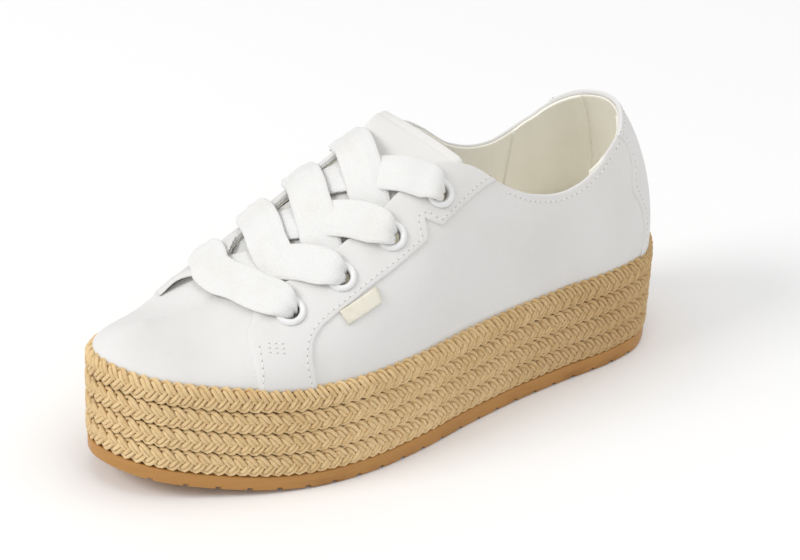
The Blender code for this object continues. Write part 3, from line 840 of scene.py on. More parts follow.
def last_form(side, station, rise):
    """Point on the last: side is 1 outside, -1 inside; rise is 0 at the feather line, 1 on the ridge."""
    station = np.asarray(station, float)
    rise = np.asarray(rise, float)
    edge = FEATHERS[side]
    foot_x = np.interp(station, edge[:, 1], edge[:, 0])
    foot_z = UPPER_BOTTOM + toe_rise(station)
    ridge_y = ridge_place(station)
    columns = (1, 2, 3, 4) if side > 0 else (1, 2, 5, 6)
    ridge_x, ridge_z, square_side, square_up = (read_table(RIDGE, k, ridge_y) for k in columns)
    turn = rise * math.pi / 2
    out = np.clip(np.cos(turn), 0, 1) ** (2 / square_side)
    up = np.clip(np.sin(turn), 0, 1) ** (2 / square_up)
    x = ridge_x + (foot_x - ridge_x) * out
    y = ridge_y + (station - ridge_y) * out
    z = foot_z + (ridge_z - foot_z) * up
    return np.stack(np.broadcast_arrays(x, y, z), axis=-1)


def surface_normal(side, station, rise):
    """Outward direction of the last form, from two short steps along it."""
    station = np.asarray(station, float)
    rise = np.asarray(rise, float)
    along = last_form(side, station + 0.5, rise) - last_form(side, station - 0.5, rise)
    high = np.clip(rise + 0.01, 0.02, 0.99)
    low = np.clip(rise - 0.01, 0.0, 0.97)
    upwards = last_form(side, station, high) - last_form(side, station, low)
    return unit(np.cross(along, upwards) * side)


def edge_rise(side, station):
    """Share of the rise at which the canvas ends."""
    return np.where(station <= THROAT_FRONT, 1.0, read_table(EDGES[side], 1, station))


def crease(side, station, rise):
    """How far the canvas sinks below the last at a place."""
    sunk = np.zeros(np.broadcast(station, rise).shape)
    for crease_side, middle, level, lean, half_length, half_width, depth in CREASES:
        if crease_side == side:
            x = (station - middle) * STATION_MM
            y = (rise - level) * RISE_MM
            turn = math.radians(lean)
            along = x * math.sin(turn) + y * math.cos(turn)
            across = x * math.cos(turn) - y * math.sin(turn) + 0.02 * along**2
            sunk = sunk + depth * np.exp(-((across / half_width) ** 2) - (along / half_length) ** 2)
    return sunk


def skin(side, station, rise, lift=0.0):
    """Point on the canvas, or a lift above it."""
    normal = surface_normal(side, station, rise)
    lift = np.asarray(lift, float) - crease(side, station, rise)
    point = last_form(side, station, rise) + normal * lift[..., None]
    point[..., 2] += RISE_MM * np.minimum(np.asarray(rise, float), 0.0)
    return point


def canvas_material(name, shade=CANVAS_WARM):
    """Washed white cotton canvas: plain weave, slubs, puckers and a warmer cast in clouds."""
    matt = {"Sheen_Weight": 0.1, "Specular_IOR_Level": 0.25}
    material, graph = new_material(name, CANVAS_WHITE, 0.88, **matt)
    threads = weave(graph, 0.0011)
    place = graph.place()
    cloud = graph.noise(place, 24.0, 4.0)
    slub_run = graph.vector_math("MULTIPLY", place, (260.0, 260.0, 2600.0))
    slub = graph.noise(slub_run, 1.0, 2.0)
    pucker = graph.noise(place, 130.0, 2.0)
    tint = cloud.between(0.4, 0.75) * 0.55 + slub * 0.15
    color = graph.mix(tint, CANVAS_WHITE, shade)
    relief = graph.bump(threads * 0.55 + slub * 0.25 + pucker * 1.1, 0.22, 0.00045)
    finish_material(graph, Base_Color=color, Roughness=0.8 + slub * 0.14, Normal=relief)
    return material


def upper_stations():
    """Columns of the upper, closer together round the toe, the throat's front and the heel."""
    round_toe = 1 - np.cos(np.linspace(0.0, math.pi / 2, 34))
    toe = FEATHER_TOE + (THROAT_FRONT - FEATHER_TOE) * round_toe
    throat = THROAT_FRONT + (SIDE_FRONT - THROAT_FRONT) * np.linspace(0.0, 1.0, 26) ** 1.7
    sides = np.linspace(SIDE_FRONT, SIDE_BACK, 90)
    heel = SIDE_BACK + (FEATHER_HEEL - SIDE_BACK) * np.sin(np.linspace(0.0, math.pi / 2, 26))
    return np.concatenate([toe, throat[1:], sides[1:], heel[1:]])


def upper_surface(top_share, rows=44):
    """Points, texture places and quads of the upper's skin, and the numbers of its feather line."""
    stations = upper_stations()
    closed = int(np.sum(stations <= THROAT_FRONT + 1e-6))
    count = len(stations)
    number, surface, texture = {}, [], []
    for side in (1, -1):
        for i in range(count):
            shared_column = side < 0 and i in (0, count - 1)
            top = float(edge_rise(side, stations[i])) * (1.0 if i < closed else top_share)
            rises = top * np.linspace(0.0, 1.0, rows + 1)
            column = skin(side, np.full(rows + 1, stations[i]), rises)
            run = add_up(lengths(column))
            for j in range(rows + 1):
                if shared_column or (side < 0 and j == rows and i < closed):
                    number[(side, i, j)] = number[(1, i, j)]
                    continue
                number[(side, i, j)] = len(surface)
                surface.append(column[j])
                texture.append((stations[i] + side * TEXTURE_APART, run[j]))
    faces = []
    for side in (1, -1):
        for i in range(count - 1):
            for j in range(rows):
                corners = ((i, j), (i + 1, j), (i + 1, j + 1), (i, j + 1))
                quad = [number[(side, *corner)] for corner in corners]
                faces.append(quad if side > 0 else quad[::-1])
    feather = sorted({number[(side, i, 0)] for side in (1, -1) for i in range(count)})
    return np.array(surface), texture, faces, feather


def shell(name, material, shallow, deep, tuck, top_share):
    """A cloth layer between two depths below the skin, open at throat, collar and underneath."""
    surface, texture, faces, feather = upper_surface(top_share)
    quads = np.array(faces)
    first, second, third, fourth = (surface[quads[:, k]] for k in range(4))
    normals = np.zeros_like(surface)
    for k in range(4):
        np.add.at(normals, quads[:, k], np.cross(third - first, fourth - second))
    normals[feather, 2] = 0.0
    normals = unit(normals)
    outside, inside = surface - normals * shallow, surface - normals * deep
    for layer in (outside, inside):
        layer[feather, 2] = surface[feather, 2] - tuck
    directed = {(int(a), int(b)) for quad in faces for a, b in zip(quad, quad[1:] + quad[:1])}
    rim = [(a, b) for a, b in directed if (b, a) not in directed]
    rim_points = sorted({corner for edge in rim for corner in edge})
    size = len(surface)
    slot = {corner: 2 * size + k for k, corner in enumerate(rim_points)}
    centre = (outside[rim_points] + inside[rim_points]) / 2
    # The rim's own points, midway between both layers, are pushed out, so that the cut edge is round
    inwards = np.zeros((size, 3))
    for quad in faces:
        middle = surface[quad].mean(axis=0)
        for corner in quad:
            if corner in slot:
                inwards[corner] += middle - surface[corner]
    far = np.linalg.norm(inwards[rim_points], axis=1)[:, None]
    bulge = inwards[rim_points] / np.maximum(far, 1e-6)
    low = np.isin(rim_points, feather)
    centre -= bulge * np.where(low, 0.0, (deep - shallow) * 0.5)[:, None]
    solid = faces + [[corner + size for corner in quad[::-1]] for quad in faces]
    for a, b in rim:
        solid.append([a, slot[a], slot[b], b])
        solid.append([slot[a], a + size, b + size, slot[b]])
    points = np.vstack([outside, inside, centre])
    uv = np.vstack([texture, texture, np.array(texture)[rim_points]])
    return add_mesh(name, points, solid, material, uv)


canvas = canvas_material("white_canvas")
upper_canvas = shell("canvas_upper", canvas, 0.0, CANVAS_THICK, CANVAS_TUCK, 1.0)
upper_lining = shell("upper_lining", lining, CANVAS_THICK + LINING_GAP, WALL, 0.0, 0.985)
use_piece(upper_canvas, "canvas", "upper")
use_piece(upper_lining, "lining")

# ------------------------------------------------------------------------------------------------
# Facings: folded canvas panels stitched over both sides of the throat. Each carries four eyelets,
# runs down to the braid in front as a flap and ends behind in a step below the collar. The inner
# flap's front corner stands off.
# ------------------------------------------------------------------------------------------------
EYELETS = (
    # row, outer station, outer rise, inner station, inner rise
    (1, -69.1, 0.497, -69.6, 0.467),
    (2, -47.1, 0.517, -47.8, 0.507),
    (3, -23.0, 0.540, -25.6, 0.503),
    (4, 2.2, 0.573, -4.5, 0.530),
)
# Radius and height of the punch's ends
PUNCH_PROFILE = ((4.1, -6.0), (4.1, 5.0))
FACING_THICK = 0.95
PANEL_SUNK = 0.3
FOLD_ROUND = 0.7
SOFT_FRONT = (-82.0, -66.0)
SOFT_FOLD = 2.4
ROW_PITCH = 1.5
PAST_EDGE = 0.004
PANEL_COLUMNS = 26
# Millimetres of cloth to one of station, and to the whole rise
PANEL_WEAVE = (0.9, 80.0)
# The inner flap's free corner: station, rise, its reach in both, and how far it stands off
CORNER_STATION, CORNER_RISE = -90.0, 0.60
CORNER_LONG, CORNER_TALL = 6.5, 0.13
CORNER_LIFT = 3.4
# A row joins a place on one border of a panel to a place on the other, and a rise past the throat's or
# the collar's edge ends there. A stretch of rows is smooth, and turns a corner where the next begins.
OUTER_FACING = (
    # station, rise on the throat's side; station, rise on the far side
    (
        (-84.0, -0.02, -62.9, -0.02),
        (-84.6, 0.15, -63.7, 0.12),
        (-85.5, 0.307, -63.8, 0.227),
        (-86.2, 0.417, -62.2, 0.310),
        (-86.2, 0.493, -58.5, 0.353),
        (-84.0, 0.56, -54.5, 0.370),
        (-80.5, 0.66, -50.4, 0.383),
        (-74.2, 0.74, -43.0, 0.396),
        (-64.0, 0.90, -36.4, 0.407),
        (-47.3, 0.90, -27.0, 0.412),
        (-30.0, 0.90, -19.9, 0.415),
        (-15.0, 0.90, -12.5, 0.419),
        (-7.1, 0.90, -9.0, 0.423),
    ),
    ((-6.0, 0.90, -8.0, 0.513),),
    ((-2.0, 0.90, -1.0, 0.433),),
    (
        (8.0, 0.90, 8.0, 0.452),
        (14.9, 0.90, 17.0, 0.472),
        (21.8, 0.90, 25.0, 0.486),
        (28.0, 0.90, 30.0, 0.490),
        (31.6, 0.90, 31.6, 0.490),
    ),
)
INNER_FACING = (
    (
        (-83.5, -0.02, -59.4, -0.02),
        (-84.5, 0.12, -59.4, 0.13),
        (-87.0, 0.24, -59.2, 0.22),
        (-90.5, 0.36, -57.0, 0.285),
        (-93.5, 0.45, -52.3, 0.327),
    ),
    (
        (-90.5, 0.56, -46.0, 0.343),
        (-87.0, 0.66, -40.2, 0.353),
        (-84.0, 0.75, -35.0, 0.360),
        (-79.0, 0.88, -30.0, 0.364),
        (-68.0, 1.00, -25.8, 0.364),
        (-48.0, 1.00, -23.0, 0.356),
        (-25.0, 1.00, -19.0, 0.336),
        (-14.0, 1.00, -12.0, 0.322),
    ),
    ((-12.0, 1.00, -12.0, 0.427),),
    ((-5.0, 1.00, -3.0, 0.333),),
    (
        (8.0, 1.00, 11.0, 0.354),
        (20.0, 1.00, 25.0, 0.405),
        (30.0, 1.00, 32.0, 0.445),
        (34.5, 1.00, 34.5, 0.450),
    ),
)


def close_sheets(top, bottom):
    """Points and faces of a thin solid between two grids of equal shape."""
    rows, columns = top.shape[:2]
    points = np.vstack([top.reshape(-1, 3), bottom.reshape(-1, 3)])
    under = rows * columns
    faces = []
    for quad in grid_faces(rows, columns):
        faces += [quad, [under + corner for corner in quad[::-1]]]
    rim = list(range(columns))
    rim += [i * columns + columns - 1 for i in range(1, rows)]
    rim += [(rows - 1) * columns + j for j in range(columns - 2, -1, -1)]
    rim += [i * columns for i in range(rows - 2, 0, -1)]
    for k, corner in enumerate(rim):
        ahead = rim[(k + 1) % len(rim)]
        faces.append((corner, under + corner, under + ahead, ahead))
    return points, faces


def sheet_piece(name, top, bottom, material, texture):
    """A thin solid between two grids, both with the same texture places."""
    uv = np.tile(texture.reshape(-1, 2), (2, 1))
    thing = add_mesh(name, *close_sheets(top, bottom), material, uv)
    face_outwards(thing)
    return thing


def follow(side, stretches, pitch=ROW_PITCH):
    """Rows filled in at an even pitch; each stretch starts at the last row of the one before."""
    filled = []
    corner = []
    for stretch in stretches:
        table = np.array([*corner, *stretch], float)
        corner = [stretch[-1]]
        steps = np.zeros(len(table) - 1)
        for k in range(0, table.shape[1], 2):
            border = last_form(side, table[:, k], np.clip(table[:, k + 1], 0, 1))
            steps = np.maximum(steps, lengths(border))
        run = add_up(np.maximum(steps, 0.5))
        at = np.linspace(0.0, run[-1], max(2, int(run[-1] / pitch) + 1))
        filled.append(np.column_stack([smooth(run, table[:, k], at) for k in range(table.shape[1])]))
    return np.vstack(filled)


def overlay(name, side, stretches, low, high, material, raised=None):
    """A cloth panel with folded edges between two borders, from the lift low to the lift high."""
    rows = follow(side, stretches)
    top = np.zeros((len(rows), PANEL_COLUMNS, 3))
    bottom = np.zeros_like(top)
    texture = np.zeros((len(rows), PANEL_COLUMNS, 2))
    for i, (first_station, first_rise, last_station, last_rise) in enumerate(rows):
        first_rise = min(first_rise, float(edge_rise(side, first_station)) + PAST_EDGE)
        last_rise = min(last_rise, float(edge_rise(side, last_station)) + PAST_EDGE)
        stations = np.array([first_station, last_station])
        ends = last_form(side, stations, np.clip([first_rise, last_rise], 0, 1))
        width = max(float(np.linalg.norm(ends[1] - ends[0])), 0.3)
        folds = np.array([np.interp(first_station, SOFT_FRONT, (SOFT_FOLD, FOLD_ROUND)), FOLD_ROUND])
        first_fold, last_fold = np.minimum(folds / width, 0.3)
        turn = np.array([0.0, 0.07, 0.3, 0.65, 1.0])
        middle = np.linspace(first_fold, 1 - last_fold, PANEL_COLUMNS - 8)[1:-1]
        share = np.concatenate([turn * first_fold, middle, (1 - turn * last_fold)[::-1]])
        nearest = np.minimum(share / first_fold, (1 - share) / last_fold)
        height = low + (high - low) * np.sqrt(1 - np.clip(1 - nearest, 0, 1) ** 2)
        station = first_station + (last_station - first_station) * share
        rise = first_rise + (last_rise - first_rise) * share
        extra = raised(station, rise) if raised else 0.0
        top[i] = skin(side, station, rise, height + extra)
        bottom[i] = skin(side, station, rise, low + extra)
        texture[i, :, 0] = station * PANEL_WEAVE[0]
        texture[i, :, 1] = rise * PANEL_WEAVE[1]
    return sheet_piece(name, top, bottom, material, texture)


def free_corner(station, rise):
    """How far the inner flap's front corner stands off the vamp."""
    along = (station - CORNER_STATION) / CORNER_LONG
    across = (rise - CORNER_RISE) / CORNER_TALL
    return CORNER_LIFT * np.exp(-(along**2) - across**2)


def ring_frame(side, station, rise):
    """Centre of an eyelet on the last and three directions: outwards and two across."""
    centre = last_form(side, station, rise)
    outward = surface_normal(side, station, rise)
    across = np.cross(outward, (0.0, 1.0, 0.0))
    across /= np.linalg.norm(across)
    return centre, outward, across, np.cross(outward, across)


def turned(profile, frame, count=40):
    """Points and faces of a closed profile of (radius, height) rows turned about an eyelet's axis."""
    centre, outward, across, along = frame
    points, faces = [], []
    size = len(profile)
    for k in range(count):
        angle = math.tau * k / count
        spoke = across * math.cos(angle) + along * math.sin(angle)
        points += [centre + spoke * radius + outward * height for radius, height in profile]
        for j in range(size):
            ahead, up = (k + 1) % count, (j + 1) % size
            faces.append((k * size + j, ahead * size + j, ahead * size + up, k * size + up))
    return points, faces


EYELET_FRAMES = {}
for row, *spots in EYELETS:
    EYELET_FRAMES[(1, row)] = ring_frame(1, *spots[:2])
    EYELET_FRAMES[(-1, row)] = ring_frame(-1, *spots[2:])


def punch_eyelets(target, sides=(1, -1), solver="EXACT"):
    """Cuts the round eyelet holes of one or both sides through a closed piece."""
    points, faces = [], []
    for (side, _), frame in EYELET_FRAMES.items():
        if side in sides:
            ring, walls = turned(PUNCH_PROFILE, frame)
            base = len(points)
            points += ring
            faces += [[base + corner for corner in wall] for wall in walls[::2]]
            faces += [[base + 2 * k + end for k in range(len(ring) // 2)] for end in (0, 1)]
    cut(target, points, faces, solver)


outer_facing = overlay("outer_facing", 1, OUTER_FACING, -PANEL_SUNK, FACING_THICK, canvas)
inner_facing = overlay(
    "inner_facing", -1, INNER_FACING, -PANEL_SUNK, FACING_THICK, canvas, raised=free_corner
)
punch_eyelets(upper_canvas)
punch_eyelets(upper_lining)
punch_eyelets(outer_facing, (1,))
# The exact solver loses this panel whole, and the one for plain closed meshes keeps it
punch_eyelets(inner_facing, (-1,), "MANIFOLD")
use_piece(outer_facing, "canvas", "upper")
use_piece(inner_facing, "canvas", "upper")

# ------------------------------------------------------------------------------------------------
# Heel: a canvas counter over the back, its folded edges stitched down along a waved line on each side,
# and a small dark woven label, left bare, sewn on down its middle.
# ------------------------------------------------------------------------------------------------
COUNTER_SEAM = np.array((
    # share of the height, station
    (0.00, 104.5),
    (0.26, 106.7),
    (0.41, 104.5),
    (0.57, 101.6),
    (0.71, 105.6),
    (0.88, 107.8),
    (1.00, 105.0),
))
COUNTER_THICK = 0.8
COUNTER_WIDE = 24.0
COUNTER_TALL = 78.0
LABEL_LOW = 62.0
LABEL_HIGH = 86.0
LABEL_HALF = 5.0
LABEL_PUFF = 0.9
LABEL_REACH = 22.0
LABEL_ROUND = 0.8
HEEL_TALL = 80.7
HEEL_CURVE = 0.96
LABEL_DARK = (0.035, 0.04, 0.042, 1)
LABEL_GREY = (0.075, 0.085, 0.085, 1)


def counter_places(side, shares, heights):
    """Stations and rises round the heel: share 1 at the side's seam and 0 at the middle of the back."""
    seam = read_table(COUNTER_SEAM, 1, heights)
    station = seam + (FEATHER_HEEL - seam) * np.sin((1 - shares) * math.pi / 2)
    return station, heights * (edge_rise(side, station) + PAST_EDGE)


def heel_grid(low, high, across=60, rows=46):
    """Outer and inner grid round the heel, rounded off at seams and top, and texture places."""
    shares = np.sin(np.linspace(-1, 1, across) * math.pi / 2)
    heights = np.sin(np.linspace(0, math.pi / 2, rows))
    grids = np.zeros((2, rows, across, 3))
    texture = np.zeros((rows, across, 2))
    for j, share in enumerate(shares):
        side = 1 if share > 0 else -1
        station, rise = counter_places(side, abs(share), heights)
        side_edge = np.clip((1 - abs(share)) * COUNTER_WIDE / FOLD_ROUND, 0, 1)
        top_edge = np.clip((1 - heights) * COUNTER_TALL / FOLD_ROUND, 0, 1)
        round_off = np.sqrt(1 - (1 - np.minimum(side_edge, top_edge)) ** 2)
        grids[0, :, j] = skin(side, station, rise, low + (high - low) * round_off)
        grids[1, :, j] = skin(side, station, rise, low)
        texture[:, j] = np.column_stack([np.full(rows, share * 34.0), heights * COUNTER_TALL])
    for grid in grids:
        grid[0, :, 2] -= CANVAS_TUCK
    return *grids, texture


def label_material():
    """Charcoal woven tape: a tight plain weave and a slight sheen."""
    material, graph = new_material("dark_label", LABEL_DARK, 0.7, Sheen_Weight=0.2)
    rib = weave(graph, 0.0006)
    cloud = graph.noise(graph.place(), 300.0, 3.0)
    color = graph.mix(cloud * 0.5 + rib * 0.3, LABEL_DARK, LABEL_GREY)
    relief = graph.bump(rib, 0.35, 0.0003)
    finish_material(graph, Base_Color=color, Roughness=0.6 + rib * 0.2, Normal=relief)
    return material


counter_top, counter_bottom, counter_uv = heel_grid(-PANEL_SUNK, COUNTER_THICK)
counter = sheet_piece("heel_counter", counter_top, counter_bottom, canvas, counter_uv)
use_piece(counter, "canvas", "upper")
label_rows, label_columns = 26, 22
label_sheets = np.zeros((2, label_rows, label_columns, 3))
label_uv = np.zeros((label_rows, label_columns, 2))
across_back = np.linspace(0.0, 0.6, 40)
for i, level in enumerate(np.linspace(LABEL_LOW, LABEL_HIGH, label_rows)):
    for j, reach in enumerate(np.linspace(-LABEL_HALF, LABEL_HALF, label_columns)):
        side = 1 if reach > 0 else -1
        height = (level - UPPER_BOTTOM) / HEEL_TALL
        rise = math.asin(height**HEEL_CURVE) * 2 / math.pi
        station = FEATHER_HEEL - LABEL_REACH * (1 - np.sin((1 - across_back) * math.pi / 2))
        middle = float(last_form(side, FEATHER_HEEL, rise)[0])
        offsets = np.abs(last_form(side, station, rise)[:, 0] - middle)
        found = float(np.interp(abs(reach), offsets, station))
        edge = min(LABEL_HALF - abs(reach), level - LABEL_LOW, LABEL_HIGH - level)
        puff = math.sqrt(1 - (1 - min(edge / LABEL_ROUND, 1.0)) ** 2)
        label_sheets[0, i, j] = skin(side, found, rise, COUNTER_THICK + LABEL_PUFF * puff)
        label_sheets[1, i, j] = skin(side, found, rise, COUNTER_THICK - PANEL_SUNK)
        label_uv[i, j] = (reach, level)
label = sheet_piece("heel_label", *label_sheets, label_material(), label_uv)
use_piece(label, "canvas")

# ------------------------------------------------------------------------------------------------
# Tongue: padded white canvas with a lining back and a folded hem, sewn in at the throat's front. It
# lies under the facings, and its inner top corner stands free.
# ------------------------------------------------------------------------------------------------
TONGUE_EDGE = np.array((
    # station, outer rise, inner rise
    (-104.0, 0.640, 0.640),
    (-80.0, 0.560, 0.560),
    (-40.0, 0.540, 0.560),
    (-18.0, 0.560, 0.660),
    (-4.0, 0.580, 0.860),
    (6.0, 0.590, 0.865),
    (12.0, 0.580, 0.810),
    (19.5, 0.560, 0.700),
))
TONGUE_PAINTED_CREAM_LIGHT = (0.80, 0.775, 0.69, 1)
TONGUE_THICK = 3.2
TONGUE_THIN = 1.3
TONGUE_GAP = 0.12
HEM = 5.0
HEM_SEAM_HALF = 0.9
HEM_SEAM_DEPTH = 0.35
TONGUE_END_ROUND = 1.3
TONGUE_EDGE_SINK = 0.9
TONGUE_EDGE_SHARE = 0.35
# The top hem is nearly straight, from the free inner corner to where it slips under the outer facing
HEM_INNER = np.array((-20.5, 11.0, 110.3))
HEM_OUTER = np.array((22.0, 18.2, 104.0))
HEM_OUTER_SHARE = 0.8
HEM_CROWN = 1.0


def tongue_sheets(rows=110, columns=56):
    """The tongue's face and back as two grids, with texture places in millimetres."""
    turn = np.linspace(0.0, math.pi, rows)
    front, back = TONGUE_EDGE[0, 0], TONGUE_EDGE[-1, 0]
    stations = front + (back - front) * (1 - np.cos(turn)) / 2
    shares = np.sin(np.linspace(-1, 1, columns) * math.pi / 2)
    top = np.zeros((rows, columns, 3))
    bottom = np.zeros_like(top)
    texture = np.zeros((rows, columns, 2))
    to_end = stations[-1] - stations
    hem = np.exp(-(((to_end - HEM) / HEM_SEAM_HALF) ** 2)) * HEM_SEAM_DEPTH
    round_end = np.sqrt(1 - np.clip(1 - to_end / TONGUE_END_ROUND, 0, 1) ** 2)
    for j, share in enumerate(shares):
        side, column = (1, 1) if share > 0 else (-1, 2)
        edge = read_table(TONGUE_EDGE, column, stations)
        rise = 1 - (1 - edge) * abs(share)
        surface = last_form(side, stations, rise)
        outward = surface_normal(side, stations, np.minimum(rise, 0.985))
        middle = unit(surface_normal(1, stations, 0.985) + surface_normal(-1, stations, 0.985))
        near = np.exp(-((share / 0.12) ** 2))
        outward = outward * (1 - near) + middle * near
        round_side = math.sqrt(1 - max(0.0, 1 - (1 - abs(share)) * 22.0) ** 2)
        full = round_side * round_end
        face = WALL + TONGUE_GAP + TONGUE_THIN * share**4 + hem + TONGUE_EDGE_SINK * (1 - full)
        padding = TONGUE_EDGE_SHARE + (1 - TONGUE_EDGE_SHARE) * full
        depth = (TONGUE_THICK - TONGUE_THIN * share**4) * padding
        along_hem = (share + 1) / (HEM_OUTER_SHARE + 1)
        straight = HEM_INNER + (HEM_OUTER - HEM_INNER) * along_hem
        straight[2] += HEM_CROWN * math.sin(min(along_hem, 1.0) * math.pi)
        fades = float(smooth((0.55, 1.0), (1.0, 0.0), share)) if share > 0.55 else 1.0
        flattened = (straight - (surface - outward * face[:, None])[-1]) * fades
        moved = np.outer(smooth((-26.0, 14.0, 20.0), (0.0, 1.0, 1.0), stations), flattened)
        top[:, j] = surface - outward * face[:, None] + moved
        bottom[:, j] = surface - outward * (face + depth)[:, None] + moved
        texture[:, j] = np.column_stack([np.full(rows, share * 36.0), stations])
    return top, bottom, texture


tongue_top, tongue_bottom, tongue_uv = tongue_sheets()
# Painted light: the tongue's canvas takes a brighter, warmer cream in clouds, for light seeping through
# canvas and laces
tongue_canvas = canvas_material("tongue_canvas", shade=TONGUE_PAINTED_CREAM_LIGHT)
tongue = sheet_piece("padded_tongue", tongue_top, tongue_bottom, tongue_canvas, tongue_uv)
tongue.data.materials.append(lining)
half_points = tongue_top.size // 3
backs = [int(min(face.vertices) >= half_points) for face in tongue.data.polygons]
tongue.data.polygons.foreach_set("material_index", backs)
use_piece(tongue, "tongue_canvas", "tongue")

# ------------------------------------------------------------------------------------------------
# Eyelets: eight rings of white painted metal, set through the facings, with a rolled flange outside
# and a barrel that grips the lining.
# ------------------------------------------------------------------------------------------------
EYELET_RIM = 5.85
EYELET_HOLE = 3.25
EYELET_BARREL = 3.75
EYELET_HIGH = 1.15
PAINT_WHITE = (0.78, 0.785, 0.78, 1)
PAINT_RUBBED = (0.62, 0.61, 0.58, 1)


def painted_metal():
    """White enamel with a faint orange-peel skin and a few warm, duller rubs."""
    glossy = {"Coat_Weight": 0.35, "Coat_Roughness": 0.2}
    material, graph = new_material("white_enamel", PAINT_WHITE, 0.32, **glossy)
    skin_noise = graph.noise(graph.place(), 900.0, 2.0)
    rub = graph.noise(graph.place(), 260.0, 3.0).between(0.6, 0.8)
    color = graph.mix(rub * 0.3, PAINT_WHITE, PAINT_RUBBED)
    relief = graph.bump(skin_noise, 0.08, 0.0002)
    finish_material(graph, Base_Color=color, Roughness=0.28 + rub * 0.15, Normal=relief)
    return material


eyelet_profile = [
    (EYELET_HOLE, -WALL - 0.35),
    (EYELET_BARREL + 0.9, -WALL - 0.35),
    (EYELET_BARREL + 0.9, -WALL - 0.05),
    (EYELET_BARREL, -WALL + 0.1),
    (EYELET_BARREL, FACING_THICK),
    (EYELET_RIM - 0.25, FACING_THICK - 0.1),
]
crown = (EYELET_RIM + EYELET_HOLE + 0.1) / 2
half = (EYELET_RIM - EYELET_HOLE - 0.1) / 2
for turn in np.linspace(-0.15 * math.pi, math.pi, 14):
    high = FACING_THICK + EYELET_HIGH * max(math.sin(turn), 0.0)
    eyelet_profile.append((crown + half * math.cos(turn), high))
enamel = painted_metal()
for side, word in ((1, "outer"), (-1, "inner")):
    ring_points, ring_faces = [], []
    for row in range(1, 5):
        points, faces = turned(eyelet_profile, EYELET_FRAMES[(side, row)], 48)
        ring_faces += [[corner + len(ring_points) for corner in face] for face in faces]
        ring_points += points
    eyelets = add_mesh(f"{word}_eyelets", ring_points, ring_faces, enamel)
    face_outwards(eyelets)
    use_piece(eyelets, "eyelet_metal", *[f"eyelet_{word}_{row}" for row in range(1, 5)])

# ------------------------------------------------------------------------------------------------
# Laces: one flat tubular cotton lace. It makes a bar over the first pair of eyelets, then crosses to
# and fro, up from under one facing and down through the eyelet opposite. Both ends are tucked away
# under the top eyelets.
# ------------------------------------------------------------------------------------------------
LACE_WIDTH = 15.6
LACE_THICK = 2.1
LACE_HOLE_WIDTH = 5.6
LACE_DIVES_AT = 11.5
LACE_PULL = 8.5
LACE_AROUND = 40
LACE_STEP = 0.55
LACE_TEXTURE_HALF = 7.2
LACE_DROOP = 0.3
DRAPE_SPOTS = 9
BAR_HEIGHT = 2.3
LACE_STARTS = (
    # row, outer x, outer y, inner x, inner y
    (2, 14.5, -61.0, -19.0, -72.5),
    (3, 16.5, -44.5, -18.5, -53.5),
    (4, 16.5, -23.0, -16.0, -31.5),
)
LACE_RUN = (
    # share of the way, height of the lace on top, height of the lace below, width share
    (-0.20, -3.6, -3.6, 0.80),
    (-0.06, -2.8, -2.8, 0.90),
    (0.06, -1.4, -1.4, 0.97),
    (0.24, 0.5, -0.3, 1.0),
    (0.42, 2.1, -0.2, 1.0),
    (0.60, 2.7, 0.7, 1.0),
    (0.76, 2.5, 2.1, 1.0),
)
LACE_DIVE = (
    # distance to the middle of the hole, height above the last, width, thickness
    (11.0, 2.4, 15.6, 2.1),
    (8.0, 2.8, 15.2, 2.1),
    (5.5, 3.3, 14.3, 2.3),
    (3.4, 3.4, 12.6, 2.6),
    (1.7, 2.9, 10.3, 3.0),
    (0.5, 1.7, 8.0, 3.3),
    (0.0, 0.0, 6.2, 3.3),
    (0.0, -2.4, 5.4, 3.0),
    (0.6, -4.4, 6.0, 2.6),
)
BAR_RUN = ((-16.0, -71.0), (-9.0, -70.3), (0.5, -69.2), (9.5, -68.2))
LACE_WHITE = (0.79, 0.79, 0.785, 1)
LACE_CREAM = (0.74, 0.71, 0.63, 1)


def over_last(x, y, height):
    """Points at a height above the last, over places in plan, and the outward directions there."""
    x, y, height = (np.asarray(value, float) for value in np.broadcast_arrays(x, y, height))
    low = np.full(x.shape, FEATHER_TOE + 0.1)
    high = np.full(x.shape, FEATHER_HEEL - 0.1)
    for _ in range(36):
        station = (low + high) / 2
        ridge_y = ridge_place(station)
        ridge_x = read_table(RIDGE, 1, ridge_y)
        outer = x > ridge_x
        feet = [np.interp(station, FEATHERS[side][:, 1], FEATHERS[side][:, 0]) for side in (1, -1)]
        out = np.clip((x - ridge_x) / (np.where(outer, *feet) - ridge_x), 0, 1)
        behind = ridge_y + (station - ridge_y) * out < y
        low = np.where(behind, station, low)
        high = np.where(behind, high, station)
    square = np.where(outer, *(read_table(RIDGE, k, ridge_y) for k in (3, 5)))
    rise = np.minimum(np.arccos(out ** (square / 2)) * 2 / math.pi, 0.985)
    pick = outer[..., None]
    point = np.where(pick, *(last_form(side, station, rise) for side in (1, -1)))
    outward = np.where(pick, *(surface_normal(side, station, rise) for side in (1, -1)))
    return point + outward * height[..., None], outward


def settle(values, laps):
    """Evens out a run of rows, ends held."""
    for _ in range(laps):
        values[1:-1] = values[1:-1] * 0.5 + (values[:-2] + values[2:]) * 0.25
    return values


def lace_relief(span, body, pinch, thick, run, seed):
    """Height of the lace's skin: a round body, pleats, soft waves and two woven grooves."""
    drift = seed + run * 0.035
    pleat = math.cos(span * 5.2 + drift) * 0.55 + math.cos(span * 9.5 - drift * 1.7) * 0.45
    wave = math.cos(run * 0.55 + seed * 3 + span * 2)
    soft = 0.14 * math.cos(span * 3.4 + drift * 2.3) + 0.07 * wave
    groove = 0.22 * math.exp(-(((abs(span) - 0.62) / 0.09) ** 2))
    return body * thick / 2 + (0.15 + 0.62 * pinch) * pleat + soft - groove * (1 - pinch)


